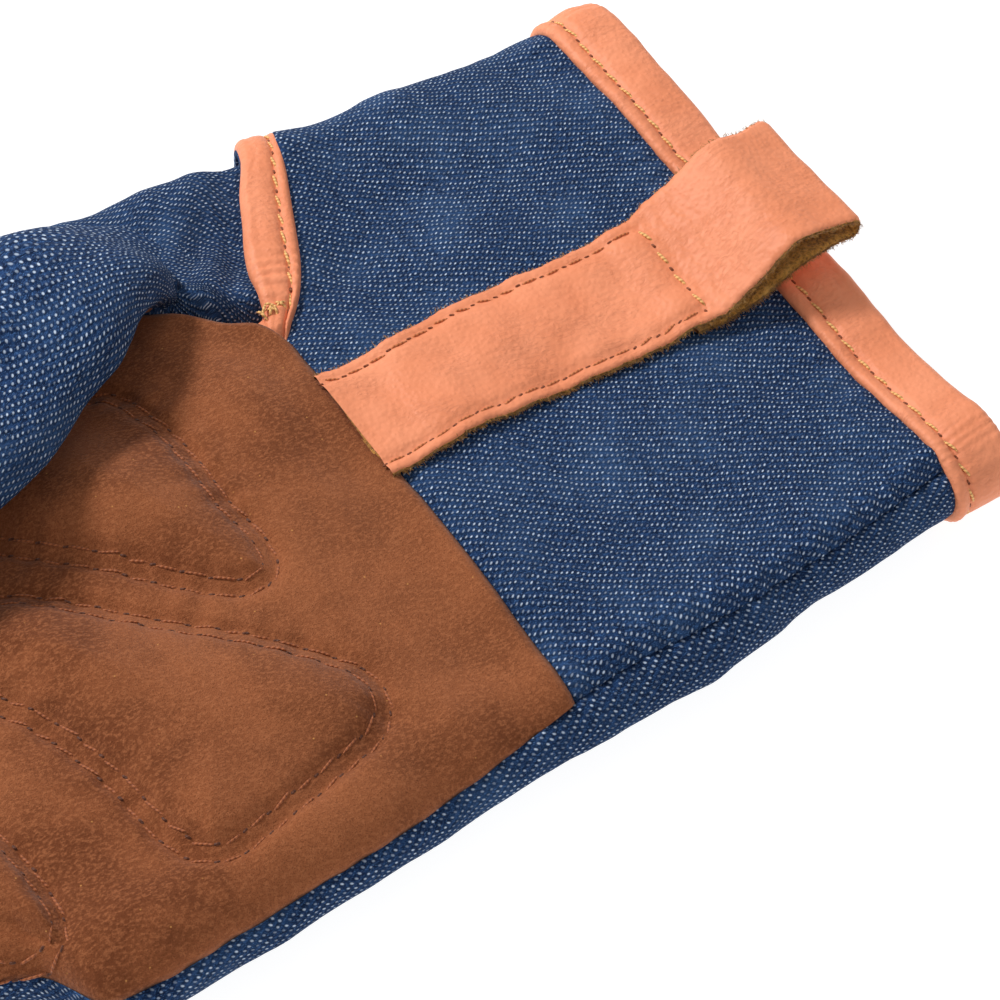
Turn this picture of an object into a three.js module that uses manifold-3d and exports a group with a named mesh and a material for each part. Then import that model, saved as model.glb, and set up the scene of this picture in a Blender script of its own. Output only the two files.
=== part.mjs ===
// A right-hand gardening glove that lies on its back with the palm up.
// Denim back and cuff, a suede palm with sewn pads, a leather-bound opening, a leather-bound wrist slit beside
// the thumb, and a leather strap that is folded into a hanging loop past the opening.
// Millimetres. +X runs from the fingertips to the opening, +Y to the thumb side, +Z up. The origin is the centre
// of the glove's footprint. Inside this file s is the distance from the opening's rim towards the fingertips.
import * as THREE from "three";
import { mergeVertices } from "three/addons/utils/BufferGeometryUtils.js";
import Module from "manifold-3d";

const wasm = await Module();
wasm.setup();

// Lengths along the glove
const CUFF_LENGTH = 79;
const PALM_LENGTH = 98;
const RIM_SLANT = 0.045;
// Widths and heights of the hand and cuff
const HALF_WIDTH = 62;
const HAND_HEIGHT = 20;
const SIDE_ROLL = 8;
// Walls and clearances
const CLOTH = 1.5;
const LEATHER = 1.2;
const GAP = 0.3;
// Fingers
const FINGER_WIDTH = 25;
const FINGER_HEIGHT = 15.5;
const FINGER_LENGTH = 82;
const FINGER_CURL = 5;
const LITTLE_SETBACK = 9;
// Thumb, which lies folded over the palm
const THUMB_WIDTH = 35;
const THUMB_HEIGHT = 15;
const THUMB_REACH = 84;
const THUMB_START = 84;
// Seams
const CUFF_SEAM_HEIGHT = 12.3;
const PALM_SEAM_HEIGHT = 9.7;
const THUMB_SIDE_SEAM_HEIGHT = 6;
const FOURCHETTE_BOTTOM = 3.6;
const SEAM_DIP = 6.2;
// Leather binding of the opening
const BINDING_WIDTH = 9.6;
// Wrist slit, a straight cut from its apex out to the thumb side and round to the back
const SLIT_APEX = 22;
const SLIT_SLANT = 17;
const SLIT_OPEN = 0.7;
const SLIT_BACK_APEX = 42;
const SLIT_BINDING_WIDTH = 7.6;
const SLIT_HAND_BINDING_WIDTH = 4.5;
// Hanging strap
const STRAP_MIDDLE = -1;
const STRAP_WIDTH = 22.5;
const STRAP_STITCH_AT = 22;
const STRAP_TAIL = 4;
const LOOP_PAST_RIM = 3;
const LOOP_GAP = 5.8;
const LOOP_RISE = 6.4;
// Pads under the suede
const PAD_HEIGHT = 2.4;
const PAD_EDGE = 3.4;

// Fineness of the faceted surfaces
const TOP_STEPS = 14;
const BOTTOM_STEPS = 4;
const SIDE_STEPS = 5;
const FINGER_TOP_STEPS = 3;
const FINGER_SIDE_STEPS = 4;
const THUMB_STEPS = 16;
const PAD_STEPS = 4;

const BELOW = -90;
const ABOVE = 90;
const BESIDE = 120;
const BEYOND = 30;
const ROOT_AT = CUFF_LENGTH + PALM_LENGTH;
const UNDER_LEATHER = LEATHER + GAP;
const SLIT_WIDTH = 2 * (LEATHER + GAP) + SLIT_OPEN;

// Cross-sections of cuff and palm. at: place along the cuff (0 to 1) or the palm (1 to 2). little and thumb: the
// two sides, as shares of HALF_WIDTH. Roll and mid heights are shares of HAND_HEIGHT. lift: share of the leather
// that the cloth is held off the ground by.
const HAND_SECTIONS = [
  { at: 0.0, little: 0.925, thumb: 0.965, rollLittle: 0.77, mid: 0.66, rollThumb: 0.77, lift: 1 },
  { at: 0.13, little: 0.93, thumb: 0.975, rollLittle: 0.77, mid: 0.65, rollThumb: 0.76, lift: 1 },
  { at: 0.35, little: 0.945, thumb: 0.985, rollLittle: 0.76, mid: 0.67, rollThumb: 0.75, lift: 1 },
  { at: 0.6, little: 0.965, thumb: 0.98, rollLittle: 0.75, mid: 0.72, rollThumb: 0.74, lift: 1 },
  { at: 0.8, little: 0.965, thumb: 0.96, rollLittle: 0.73, mid: 0.79, rollThumb: 0.72, lift: 1 },
  { at: 1.0, little: 0.965, thumb: 0.95, rollLittle: 0.71, mid: 0.86, rollThumb: 0.7, lift: 1 },
  { at: 1.15, little: 0.985, thumb: 0.985, rollLittle: 0.73, mid: 0.94, rollThumb: 0.76, lift: 0.3 },
  { at: 1.35, little: 1.02, thumb: 0.985, rollLittle: 0.77, mid: 0.95, rollThumb: 0.84, lift: 0 },
  { at: 1.55, little: 1.045, thumb: 0.93, rollLittle: 0.79, mid: 0.93, rollThumb: 0.86, lift: 0 },
  { at: 1.75, little: 1.04, thumb: 0.83, rollLittle: 0.79, mid: 0.9, rollThumb: 0.84, lift: 0 },
  { at: 1.9, little: 0.975, thumb: 0.755, rollLittle: 0.78, mid: 0.84, rollThumb: 0.8, lift: 0 },
  { at: 2.0, little: 0.92, thumb: 0.71, rollLittle: 0.76, mid: 0.78, rollThumb: 0.77, lift: 0 },
];

// Stations of the faceted hand, as values of at
const HAND_STATIONS = [0, 0.13, 0.35, 0.6, 0.8, 0.92, 1, 1.08, 1.16, 1.26, 1.38, 1.5, 1.62, 1.75, 1.88, 2];

// Dents and folds of the upper side. at and side: the middle, as at and as a share of HALF_WIDTH. along and
// across: half sizes, as shares of HALF_WIDTH. rise: share of HAND_HEIGHT. turn: degrees from the glove's axis.
const FOLDS = [
  { name: "hollow beside the thumb", at: 1.12, side: 0.52, along: 0.2, across: 0.14, turn: 20, rise: -0.16 },
  { name: "valley in the palm", at: 1.3, side: 0.3, along: 0.3, across: 0.1, turn: 35, rise: -0.08 },
  { name: "bed of the thumb", at: 1.65, side: 0.3, along: 0.5, across: 0.34, turn: 30, rise: -0.12 },
  { name: "crease of the cuff", at: 0.7, side: 0.45, along: 0.3, across: 0.12, turn: 50, rise: -0.05 },
];

// Fingers. side: root's middle as a share of HALF_WIDTH. wide and long: shares of FINGER_WIDTH and
// FINGER_LENGTH. splay: degrees towards the thumb side. back: share of LITTLE_SETBACK that the root sits back.
const FINGERS = [
  { name: "index", side: 0.51, wide: 0.98, long: 0.9, splay: 3, back: 0.1 },
  { name: "middle", side: 0.085, wide: 1, long: 1, splay: 0.4, back: 0 },
  { name: "ring", side: -0.335, wide: 0.97, long: 0.93, splay: -3, back: 0.15 },
  { name: "little", side: -0.735, wide: 0.92, long: 0.79, splay: -7.5, back: 0.8 },
];

// A finger's sections. at: share of its length past the root. wide and high: shares of its width and height.
const FINGER_SECTIONS = [
  { at: -0.22, wide: 0.96, high: 0.92 },
  { at: 0.04, wide: 0.98, high: 1 },
  { at: 0.4, wide: 1, high: 1 },
  { at: 0.72, wide: 0.97, high: 0.97 },
  { at: 0.88, wide: 0.87, high: 0.9 },
  { at: 0.96, wide: 0.64, high: 0.74 },
  { at: 1, wide: 0.34, high: 0.48 },
];

// The thumb's middle line and sections. ahead: share of THUMB_REACH from THUMB_START. side: share of HALF_WIDTH.
// up: height of its middle over the ground as a share of HAND_HEIGHT. wide and high: shares of its sizes.
const THUMB_SECTIONS = [
  { ahead: 0, side: 0.76, up: 0.42, wide: 0.7, high: 0.6 },
  { ahead: 0.12, side: 0.73, up: 0.6, wide: 0.84, high: 0.82 },
  { ahead: 0.26, side: 0.65, up: 0.98, wide: 0.95, high: 0.98 },
  { ahead: 0.42, side: 0.52, up: 1.24, wide: 1, high: 1 },
  { ahead: 0.6, side: 0.36, up: 1.33, wide: 1, high: 1 },
  { ahead: 0.78, side: 0.2, up: 1.32, wide: 0.92, high: 0.94 },
  { ahead: 0.92, side: 0.085, up: 1.27, wide: 0.74, high: 0.8 },
  { ahead: 1, side: 0.02, up: 1.22, wide: 0.38, high: 0.46 },
];

// The edge of the suede on the thumb side. at: place along the palm. side: share of HALF_WIDTH.
const SUEDE_EDGE = [
  { at: 1.0, side: 0.33 },
  { at: 1.08, side: 0.42 },
  { at: 1.2, side: 0.52 },
  { at: 1.4, side: 0.66 },
  { at: 1.6, side: 0.84 },
  { at: 1.74, side: 1.6 },
];

// Outlines of the sewn pads, as at and side pairs
const PADS = [
  {
    name: "pad at the thumb's root",
    corners: [
      { at: 1.27, side: -0.4 },
      { at: 1.42, side: -0.16 },
      { at: 1.58, side: 0.1 },
      { at: 1.5, side: 0.28 },
      { at: 1.32, side: 0.24 },
    ],
  },
  {
    name: "pad of the heel",
    corners: [
      { at: 1.25, side: -0.8 },
      { at: 1.54, side: -0.93 },
      { at: 1.68, side: -0.5 },
      { at: 1.84, side: -0.08 },
      { at: 1.66, side: -0.02 },
      { at: 1.42, side: -0.42 },
    ],
  },
  {
    name: "pad under the little finger",
    corners: [
      { at: 1.72, side: -0.9 },
      { at: 1.86, side: -0.84 },
      { at: 1.93, side: -0.4 },
      { at: 1.86, side: -0.3 },
      { at: 1.76, side: -0.5 },
    ],
  },
];

const radians = (degrees) => (degrees * Math.PI) / 180;
const mix = (a, b, t) => a + (b - a) * t;
const clamp = (t) => Math.min(1, Math.max(0, t));
const smooth = (t) => clamp(t) ** 2 * (3 - 2 * clamp(t));
const sOf = (at) => (at <= 1 ? at * CUFF_LENGTH : CUFF_LENGTH + (at - 1) * PALM_LENGTH);
const atOf = (s) => (s <= CUFF_LENGTH ? s / CUFF_LENGTH : 1 + (s - CUFF_LENGTH) / PALM_LENGTH);
const curlAt = (s) => FINGER_CURL * clamp((s - ROOT_AT) / FINGER_LENGTH) ** 2;

// Value of a table's column at x, on a smooth curve through the rows, and level past its ends
function column(rows, key, name, x) {
  const last = rows.length - 1;
  if (x <= rows[0][key]) return rows[0][name];
  if (x >= rows[last][key]) return rows[last][name];
  let i = 0;
  while (rows[i + 1][key] < x) i += 1;
  const slope = (j) => {
    const a = rows[Math.max(0, j - 1)];
    const b = rows[Math.min(last, j + 1)];
    return (b[name] - a[name]) / (b[key] - a[key]);
  };
  const span = rows[i + 1][key] - rows[i][key];
  const t = (x - rows[i][key]) / span;
  const bow = (2 * t - 3) * t * t;
  return (
    mix(rows[i][name], rows[i + 1][name], -bow) +
    (t * (1 - t) ** 2 * slope(i) - t * t * (1 - t) * slope(i + 1)) * span
  );
}

// Height that the dents and folds add at a place on the hand
function foldHeight(s, y) {
  let height = 0;
  for (const fold of FOLDS) {
    const turn = radians(fold.turn);
    const ds = (s - sOf(fold.at)) / HALF_WIDTH;
    const dy = y / HALF_WIDTH - fold.side;
    const along = (ds * Math.cos(turn) - dy * Math.sin(turn)) / fold.along;
    const across = (ds * Math.sin(turn) + dy * Math.cos(turn)) / fold.across;
    height += fold.rise * HAND_HEIGHT * Math.exp(-(along ** 2 + across ** 2));
  }
  return height;
}

// Sizes of the hand's section at s, grown outwards by grow
function handSection(s, grow = 0) {
  const value = (name) => column(HAND_SECTIONS, "at", name, atOf(s));
  return {
    s,
    low: -value("little") * HALF_WIDTH - grow,
    high: value("thumb") * HALF_WIDTH + grow,
    bottom: value("lift") * UNDER_LEATHER - grow,
    tops: ["rollLittle", "mid", "rollThumb"].map((name) => value(name) * HAND_HEIGHT + grow),
    roll: SIDE_ROLL + grow,
    hasFolds: true,
  };
}

// Height of a section's upper side at a place across it
function topAt(section, across) {
  const first = section.low + section.roll;
  const last = section.high - section.roll;
  const t = (across - first) / (last - first);
  const [little, middle, thumb] = section.tops;
  const base = t < 0.5 ? mix(little, middle, smooth(2 * t)) : mix(middle, thumb, smooth(2 * t - 1));
  return base + (section.hasFolds ? foldHeight(section.s, across) : 0);
}

// A section's outline as pairs of across and up: the upper side, the high side, the bottom and the low side
function outline(section, topSteps, sideSteps, bottomSteps) {
  const first = section.low + section.roll;
  const last = section.high - section.roll;
  const points = [];
  const addSide = (across, sign, from) => {
    const top = topAt(section, across);
    const middle = (top + section.bottom) / 2;
    for (let i = 0; i < sideSteps; i += 1) {
      const turn = from + (Math.PI * i) / sideSteps;
      const out = sign * section.roll * Math.abs(Math.sin(turn));
      points.push([across + out, middle + (top - middle) * Math.cos(turn)]);
    }
  };
  for (let i = 0; i < topSteps; i += 1) {
    const across = mix(first, last, i / topSteps);
    points.push([across, topAt(section, across)]);
  }
  addSide(last, 1, 0);
  for (let i = 0; i < bottomSteps; i += 1) points.push([mix(last, first, i / bottomSteps), section.bottom]);
  addSide(first, -1, Math.PI);
  return points;
}

// How far the rim's slant and the knuckles' setback move a point of the section at s along +X
function shiftAt(s, y) {
  const slant = RIM_SLANT * y * clamp(1 - s / CUFF_LENGTH);
  const knuckles = smooth((atOf(s) - 1.7) / 0.3) * clamp(-y / HALF_WIDTH) ** 2;
  return slant + LITTLE_SETBACK * knuckles;
}

// A point of the glove from its distance past the rim, its place across and its height
const place = (s, y, z) => new THREE.Vector3(-s + shiftAt(Math.max(0, s), y), y, z);

// A solid from vertices and triangles that close it
function solidFrom(vertices, triangles) {
  const make = (list) =>
    new wasm.Manifold(
      new wasm.Mesh({
        numProp: 3,
        vertProperties: new Float32Array(vertices.flatMap((v) => [v.x, v.y, v.z])),
        triVerts: new Uint32Array(list.flat()),
      }),
    );
  const solid = make(triangles);
  return solid.volume() > 0 ? solid : make(triangles.map(([a, b, c]) => [a, c, b]));
}

// A solid through rings of as many points each, with its two ends closed from their middles
function loft(rings) {
  const count = rings[0].length;
  const vertices = rings.flat();
  const triangles = [];
  for (let i = 0; i < rings.length - 1; i += 1) {
    for (let j = 0; j < count; j += 1) {
      const k = (j + 1) % count;
      const [a, b, c, d] = [i * count + j, (i + 1) * count + j, (i + 1) * count + k, i * count + k];
      triangles.push([a, b, c], [a, c, d]);
    }
  }
  [0, rings.length - 1].forEach((end) => {
    const middle = vertices.length;
    const sum = rings[end].reduce((total, point) => total.add(point), new THREE.Vector3());
    vertices.push(sum.divideScalar(count));
    for (let j = 0; j < count; j += 1) {
      const [a, b] = [end * count + j, end * count + ((j + 1) % count)];
      triangles.push(end ? [middle, b, a] : [middle, a, b]);
    }
  });
  return solidFrom(vertices, triangles);
}

// An upright prism over a plan outline of x and y pairs
function prism(corners, low = BELOW, high = ABOVE) {
  const shape = new THREE.Shape(corners.map(([x, y]) => new THREE.Vector2(x, y)));
  const geometry = new THREE.ExtrudeGeometry(shape, { depth: high - low, bevelEnabled: false });
  geometry.translate(0, 0, low);
  geometry.deleteAttribute("normal");
  geometry.deleteAttribute("uv");
  const merged = mergeVertices(geometry);
  const position = merged.getAttribute("position");
  const vertices = [];
  for (let i = 0; i < position.count; i += 1) vertices.push(new THREE.Vector3().fromBufferAttribute(position, i));
  const triangles = [];
  for (let i = 0; i < merged.index.count; i += 3) {
    triangles.push([merged.index.getX(i), merged.index.getX(i + 1), merged.index.getX(i + 2)]);
  }
  return solidFrom(vertices, triangles);
}

const union = (solids) => solids.reduce((all, solid) => all.add(solid));

// The largest closed body of a solid, without crumbs that a cut leaves
function mainBody(solid) {
  const bodies = solid.decompose();
  return bodies.reduce((best, body) => (body.volume() > best.volume() ? body : best));
}

// Cuff and palm as one full body, grown outwards by grow, from start to end
function handBody(grow, start, end) {
  const inner = HAND_STATIONS.map(sOf).filter((s) => s > start && s < end);
  const rings = [start, ...inner, end].map((s) => {
    const section = handSection(Math.max(0, s), grow);
    return outline(section, TOP_STEPS, SIDE_STEPS, BOTTOM_STEPS).map(([y, z]) => place(s, y, z));
  });
  return loft(rings);
}

// Middle of a finger's root, and the directions along and across it
function fingerAxes(finger) {
  const turn = radians(finger.splay);
  return {
    root: ROOT_AT - finger.back * LITTLE_SETBACK,
    side: finger.side * HALF_WIDTH,
    along: [Math.cos(turn), Math.sin(turn)],
    length: finger.long * FINGER_LENGTH,
  };
}

// One finger as a full body, grown outwards by grow
function fingerBody(finger, grow) {
  const { root, side, along, length } = fingerAxes(finger);
  const rings = FINGER_SECTIONS.map((row) => {
    const ahead = row.at * length + (row.at === 1 ? grow : 0);
    const half = (row.wide * finger.wide * FINGER_WIDTH) / 2 + grow;
    const high = row.high * FINGER_HEIGHT + 2 * grow;
    const roll = Math.min(half, high / 2) * 0.96;
    const lift = (FINGER_HEIGHT * (1 - row.high)) / 2 - grow;
    const section = { low: -half, high: half, bottom: 0, tops: [high, high, high], roll };
    return outline(section, FINGER_TOP_STEPS, FINGER_SIDE_STEPS, FINGER_TOP_STEPS).map(([w, z]) => {
      const s = root + ahead * along[0] - w * along[1];
      const y = side + ahead * along[1] + w * along[0];
      return new THREE.Vector3(-s, y, z + lift + curlAt(s));
    });
  });
  return loft(rings);
}

// The thumb as a full body, grown outwards by grow
function thumbBody(grow) {
  const middles = THUMB_SECTIONS.map(
    (row) =>
      new THREE.Vector3(-THUMB_START - row.ahead * THUMB_REACH, row.side * HALF_WIDTH, row.up * HAND_HEIGHT),
  );
  const last = middles.length - 1;
  const rings = THUMB_SECTIONS.map((row, i) => {
    const along = new THREE.Vector3()
      .subVectors(middles[Math.min(last, i + 1)], middles[Math.max(0, i - 1)])
      .normalize();
    const across = new THREE.Vector3(0, 0, 1).cross(along).normalize();
    const up = new THREE.Vector3().crossVectors(along, across);
    const middle = middles[i].clone().addScaledVector(along, i === last ? grow : 0);
    const half = (row.wide * THUMB_WIDTH) / 2 + grow;
    const high = (row.high * THUMB_HEIGHT) / 2 + grow;
    return Array.from({ length: THUMB_STEPS }, (_, j) => {
      const turn = (2 * Math.PI * j) / THUMB_STEPS;
      const flatter = Math.sign(Math.cos(turn)) * Math.abs(Math.cos(turn)) ** 0.8;
      return middle
        .clone()
        .addScaledVector(across, half * flatter)
        .addScaledVector(up, high * Math.sin(turn));
    });
  });
  return loft(rings);
}

// Everything over or under the seams that run along the glove's two sides, offset by clearance
function seamSide(isOver, clearance) {
  const stations = [-BEYOND, ...HAND_STATIONS.map(sOf), ROOT_AT + FINGER_LENGTH / 2, ROOT_AT + 2 * FINGER_LENGTH];
  const far = isOver ? ABOVE : BELOW;
  const rings = stations.map((s) => {
    const section = handSection(Math.max(0, s));
    const ease = smooth((s - CUFF_LENGTH * 0.8) / (CUFF_LENGTH * 0.5));
    const shift = curlAt(s) + clearance;
    const little = mix(CUFF_SEAM_HEIGHT, PALM_SEAM_HEIGHT, ease) + shift;
    const thumb = mix(THUMB_SIDE_SEAM_HEIGHT, PALM_SEAM_HEIGHT, smooth((atOf(s) - 1.5) / 0.4)) + shift;
    const dip = SEAM_DIP + shift;
    const roll = SIDE_ROLL;
    return [
      [-BESIDE, far],
      [-BESIDE, little],
      [section.low + roll * 0.7, little],
      [section.low + roll * 1.3, dip],
      [section.high - roll * 1.3, dip],
      [section.high - roll * 0.7, thumb],
      [BESIDE, thumb],
      [BESIDE, far],
    ].map(([y, z]) => new THREE.Vector3(-s, y, z));
  });
  return loft(rings);
}

// Plan point at a distance past the slit's line towards the hand, and at a place across the glove
function slitPoint(past, y) {
  const run = HALF_WIDTH - SLIT_APEX;
  const slope = SLIT_SLANT / run;
  const s = CUFF_LENGTH - slope * (y - SLIT_APEX) + past * Math.hypot(1, slope);
  return [-s, y];
}

// An upright prism along the slit between two distances past its line, out to the thumb side and round to the
// back, grown at its apex by grow
function slitStrip(from, to, grow = 0) {
  const band = (apex, low, high) =>
    prism([slitPoint(from, apex), slitPoint(from, BESIDE), slitPoint(to, BESIDE), slitPoint(to, apex)], low, high);
  const split = SEAM_DIP + CLOTH;
  return band(SLIT_APEX - grow, split, ABOVE).add(band(SLIT_BACK_APEX - grow, BELOW, split + GAP));
}

// Leather folded round a cloth edge: all leather within the strip, without the room that the cloth takes
function edgeBinding(strip, clothRoom, start, end) {
  const outer = handBody(GAP + LEATHER, start, end);
  const inner = handBody(-CLOTH - GAP - LEATHER, start - GAP, end + GAP);
  const cloth = handBody(GAP, start - GAP, end + GAP).subtract(handBody(-CLOTH - GAP, start - 2 * GAP, end + 2 * GAP));
  return outer.subtract(inner).intersect(strip).subtract(cloth.intersect(clothRoom));
}

// Plan rectangle between two distances past the rim, slanted as the rim is
function rimStrip(from, to) {
  const edge = (s, y) => [-s + RIM_SLANT * y * clamp(1 - s / CUFF_LENGTH), y];
  return prism([edge(from, -BESIDE), edge(from, BESIDE), edge(to, BESIDE), edge(to, -BESIDE)]);
}

// Plan shape of the suede, offset by clearance from the denim beside it
function suedePlan(clearance) {
  const edge = Array.from({ length: 10 }, (_, i) => {
    const at = mix(1, 1.74, i / 9);
    return [-sOf(at), column(SUEDE_EDGE, "at", "side", at) * HALF_WIDTH - clearance];
  });
  const end = -ROOT_AT - 2 * FINGER_LENGTH;
  const start = -CUFF_LENGTH - clearance;
  edge[0][0] = start;
  return prism([...edge, [edge[9][0], BESIDE], [end, BESIDE], [end, -BESIDE], [start, -BESIDE]]);
}

// Closed rounded outline through a pad's corners, drawn in towards its middle by inset
function padRing(pad, inset, height) {
  const corners = pad.corners.map(({ at, side }) => new THREE.Vector3(sOf(at), side * HALF_WIDTH, 0));
  const middle = corners.reduce((sum, corner) => sum.add(corner), new THREE.Vector3());
  middle.divideScalar(corners.length);
  const curve = new THREE.CatmullRomCurve3(corners, true, "centripetal");
  return curve
    .getPoints(corners.length * PAD_STEPS)
    .slice(0, -1)
    .map((point) => {
      const reach = point.distanceTo(middle);
      const inner = middle.clone().lerp(point, Math.max(0.1, 1 - inset / reach));
      return place(inner.x, inner.y, topAt(handSection(inner.x), inner.y) + height);
    });
}

function padBody(pad) {
  return loft([
    padRing(pad, 0, -CLOTH / 2),
    padRing(pad, 0, 0.05 * PAD_HEIGHT),
    padRing(pad, PAD_EDGE * 0.45, 0.62 * PAD_HEIGHT),
    padRing(pad, PAD_EDGE * 1.3, 0.93 * PAD_HEIGHT),
    padRing(pad, PAD_EDGE * 2.6, PAD_HEIGHT),
  ]);
}

// The strap's middle line, as distance past the rim and height over the cuff: from the suede to the stitch,
// over the loop, round its fold and back to a tail under the strap
function strapPath() {
  const half = LEATHER / 2;
  const flat = GAP + half;
  const stacked = flat + LEATHER + GAP;
  const tailEnd = STRAP_STITCH_AT + STRAP_TAIL;
  const radius = (LOOP_GAP + LEATHER) / 2;
  const foldAt = radius + half - LOOP_PAST_RIM;
  const path = [
    [CUFF_LENGTH - GAP, flat],
    [mix(CUFF_LENGTH, tailEnd, 0.5), flat],
    [tailEnd + 3 * LEATHER, flat],
    [tailEnd + 0.5 * LEATHER, stacked],
  ];
  const steps = 5;
  for (let i = 0; i < steps; i += 1) {
    const t = i / steps;
    path.push([mix(STRAP_STITCH_AT, foldAt, t), mix(stacked, LOOP_RISE + radius, smooth(t))]);
  }
  for (let i = 0; i <= steps; i += 1) {
    const turn = (Math.PI * i) / steps;
    path.push([foldAt - radius * Math.sin(turn), LOOP_RISE + radius * Math.cos(turn)]);
  }
  for (let i = 1; i <= steps; i += 1) {
    const s = mix(foldAt, STRAP_STITCH_AT, i / steps);
    const pastBinding = (s - BINDING_WIDTH - LEATHER) / (STRAP_STITCH_AT - BINDING_WIDTH - LEATHER);
    path.push([s, mix(LOOP_RISE - radius, flat, smooth(pastBinding))]);
  }
  path.push([tailEnd, flat]);
  return path;
}

function hangingStrap() {
  const path = strapPath();
  const steps = 4;
  const across = Array.from({ length: steps + 1 }, (_, i) => STRAP_MIDDLE + STRAP_WIDTH * (i / steps - 0.5));
  const rings = path.map(([s, height], i) => {
    const [s0, h0] = path[Math.max(0, i - 1)];
    const [s1, h1] = path[Math.min(path.length - 1, i + 1)];
    const length = Math.hypot(s1 - s0, h1 - h0);
    const [ds, dh] = [(h1 - h0) / length, -(s1 - s0) / length];
    const side = (y, sign) => {
      const section = handSection(Math.max(0, s));
      const base = mix(topAt(section, y), topAt(section, across[steps]), clamp(1 - s / STRAP_STITCH_AT));
      const half = (sign * LEATHER) / 2;
      return new THREE.Vector3(-(s + ds * half) + shiftAt(0, y), y, base + height + dh * half);
    };
    return [...across.map((y) => side(y, 1)), ...across.toReversed().map((y) => side(y, -1))];
  });
  return loft(rings);
}

const outerHand = handBody(0, 0, ROOT_AT);
const innerHand = handBody(-CLOTH, -BEYOND, ROOT_AT - CLOTH);
const outerFingers = union(FINGERS.map((finger) => fingerBody(finger, 0)));
const innerFingers = union(FINGERS.map((finger) => fingerBody(finger, -CLOTH)));
const hollow = union([innerHand, innerFingers, thumbBody(-CLOTH)]);
const shell = outerHand.add(outerFingers).subtract(hollow);
const over = seamSide(true, GAP / 2);
const under = seamSide(false, -GAP / 2);
const slot = slitStrip(0, SLIT_WIDTH);
const suedeRegion = suedePlan(GAP / 2);
const suedeRoom = suedePlan(-GAP / 2);
const cuffRegion = prism([
  [BEYOND, -BESIDE],
  [BEYOND, BESIDE],
  slitPoint(0, BESIDE),
  slitPoint(0, SLIT_APEX),
  [-CUFF_LENGTH + GAP / 2, SLIT_APEX],
  [-CUFF_LENGTH + GAP / 2, -BESIDE],
]);
const wrapRegion = prism([
  slitPoint(SLIT_WIDTH, SLIT_APEX - SLIT_WIDTH),
  slitPoint(SLIT_WIDTH, BESIDE),
  [-ROOT_AT - 2 * FINGER_LENGTH, BESIDE],
  [-ROOT_AT - 2 * FINGER_LENGTH, SLIT_APEX - SLIT_WIDTH],
]).subtract(suedeRoom);

// The side strips between two neighbouring fingers, with clearance taken off every face
function fourchetteRoom(first, second, clearance) {
  const sides = [first, second].map(fingerAxes);
  const start = ROOT_AT - LITTLE_SETBACK * 2;
  const end = ROOT_AT + Math.min(sides[0].length, sides[1].length) * 0.93;
  const stations = [start - clearance, mix(start, end, 0.4), mix(start, end, 0.6), mix(start, end, 0.8), end + clearance];
  const rings = stations.map((s) => {
    const [high, low] = sides.map(({ root, side, along }) => side + ((s - root) * along[1]) / along[0]);
    const bottom = FOURCHETTE_BOTTOM + curlAt(s) - clearance;
    const top = PALM_SEAM_HEIGHT + curlAt(s) + clearance;
    return [
      [low - clearance, bottom],
      [high + clearance, bottom],
      [high + clearance, top],
      [low - clearance, top],
    ].map(([y, z]) => new THREE.Vector3(-s, y, z));
  });
  return loft(rings);
}

const pairs = [0, 1, 2].map((i) => [FINGERS[i], FINGERS[i + 1]]);
const gussetRooms = union(pairs.map(([first, second]) => fourchetteRoom(first, second, GAP / 2)));

function suedePalm() {
  const pads = union(PADS.map(padBody));
  const thumbRoom = thumbBody(GAP);
  return mainBody(
    shell.intersect(over).intersect(suedeRegion).subtract(slot).subtract(gussetRooms).add(pads.subtract(thumbRoom)),
  );
}

function denimBack() {
  const below = shell.intersect(under);
  const wrap = shell.intersect(wrapRegion).subtract(gussetRooms);
  const overSide = shell.intersect(suedeRoom).subtract(under);
  return mainBody(below.add(wrap).subtract(slot).subtract(gussetRooms).subtract(overSide));
}

function denimCuff() {
  return mainBody(shell.intersect(over).intersect(cuffRegion));
}

const thumbRoomOverHand = handBody(GAP, -BEYOND, ROOT_AT + GAP);
const thumbWall = thumbBody(0).subtract(thumbBody(-CLOTH)).subtract(thumbRoomOverHand);

// The half of the thumb's wall over or under its middle surface
function thumbHalf(isOver) {
  const far = isOver ? ABOVE : BELOW;
  const clearance = isOver ? GAP / 2 : -GAP / 2;
  const first = THUMB_SECTIONS[0];
  const lastRow = THUMB_SECTIONS[THUMB_SECTIONS.length - 1];
  const rows = [{ ...first, ahead: -1 }, ...THUMB_SECTIONS, { ...lastRow, ahead: 2 }];
  const rings = rows.map((row) => {
    const x = -THUMB_START - row.ahead * THUMB_REACH;
    const z = row.up * HAND_HEIGHT + clearance;
    return [
      [-BESIDE, far],
      [-BESIDE, z],
      [BESIDE, z],
      [BESIDE, far],
    ].map(([y, height]) => new THREE.Vector3(x, y, height));
  });
  return mainBody(thumbWall.intersect(loft(rings)));
}

function rimBinding() {
  return mainBody(
    edgeBinding(
      rimStrip(-BEYOND, BINDING_WIDTH),
      rimStrip(-GAP, BINDING_WIDTH + BEYOND),
      -GAP - LEATHER,
      2 * BINDING_WIDTH,
    ),
  );
}

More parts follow.
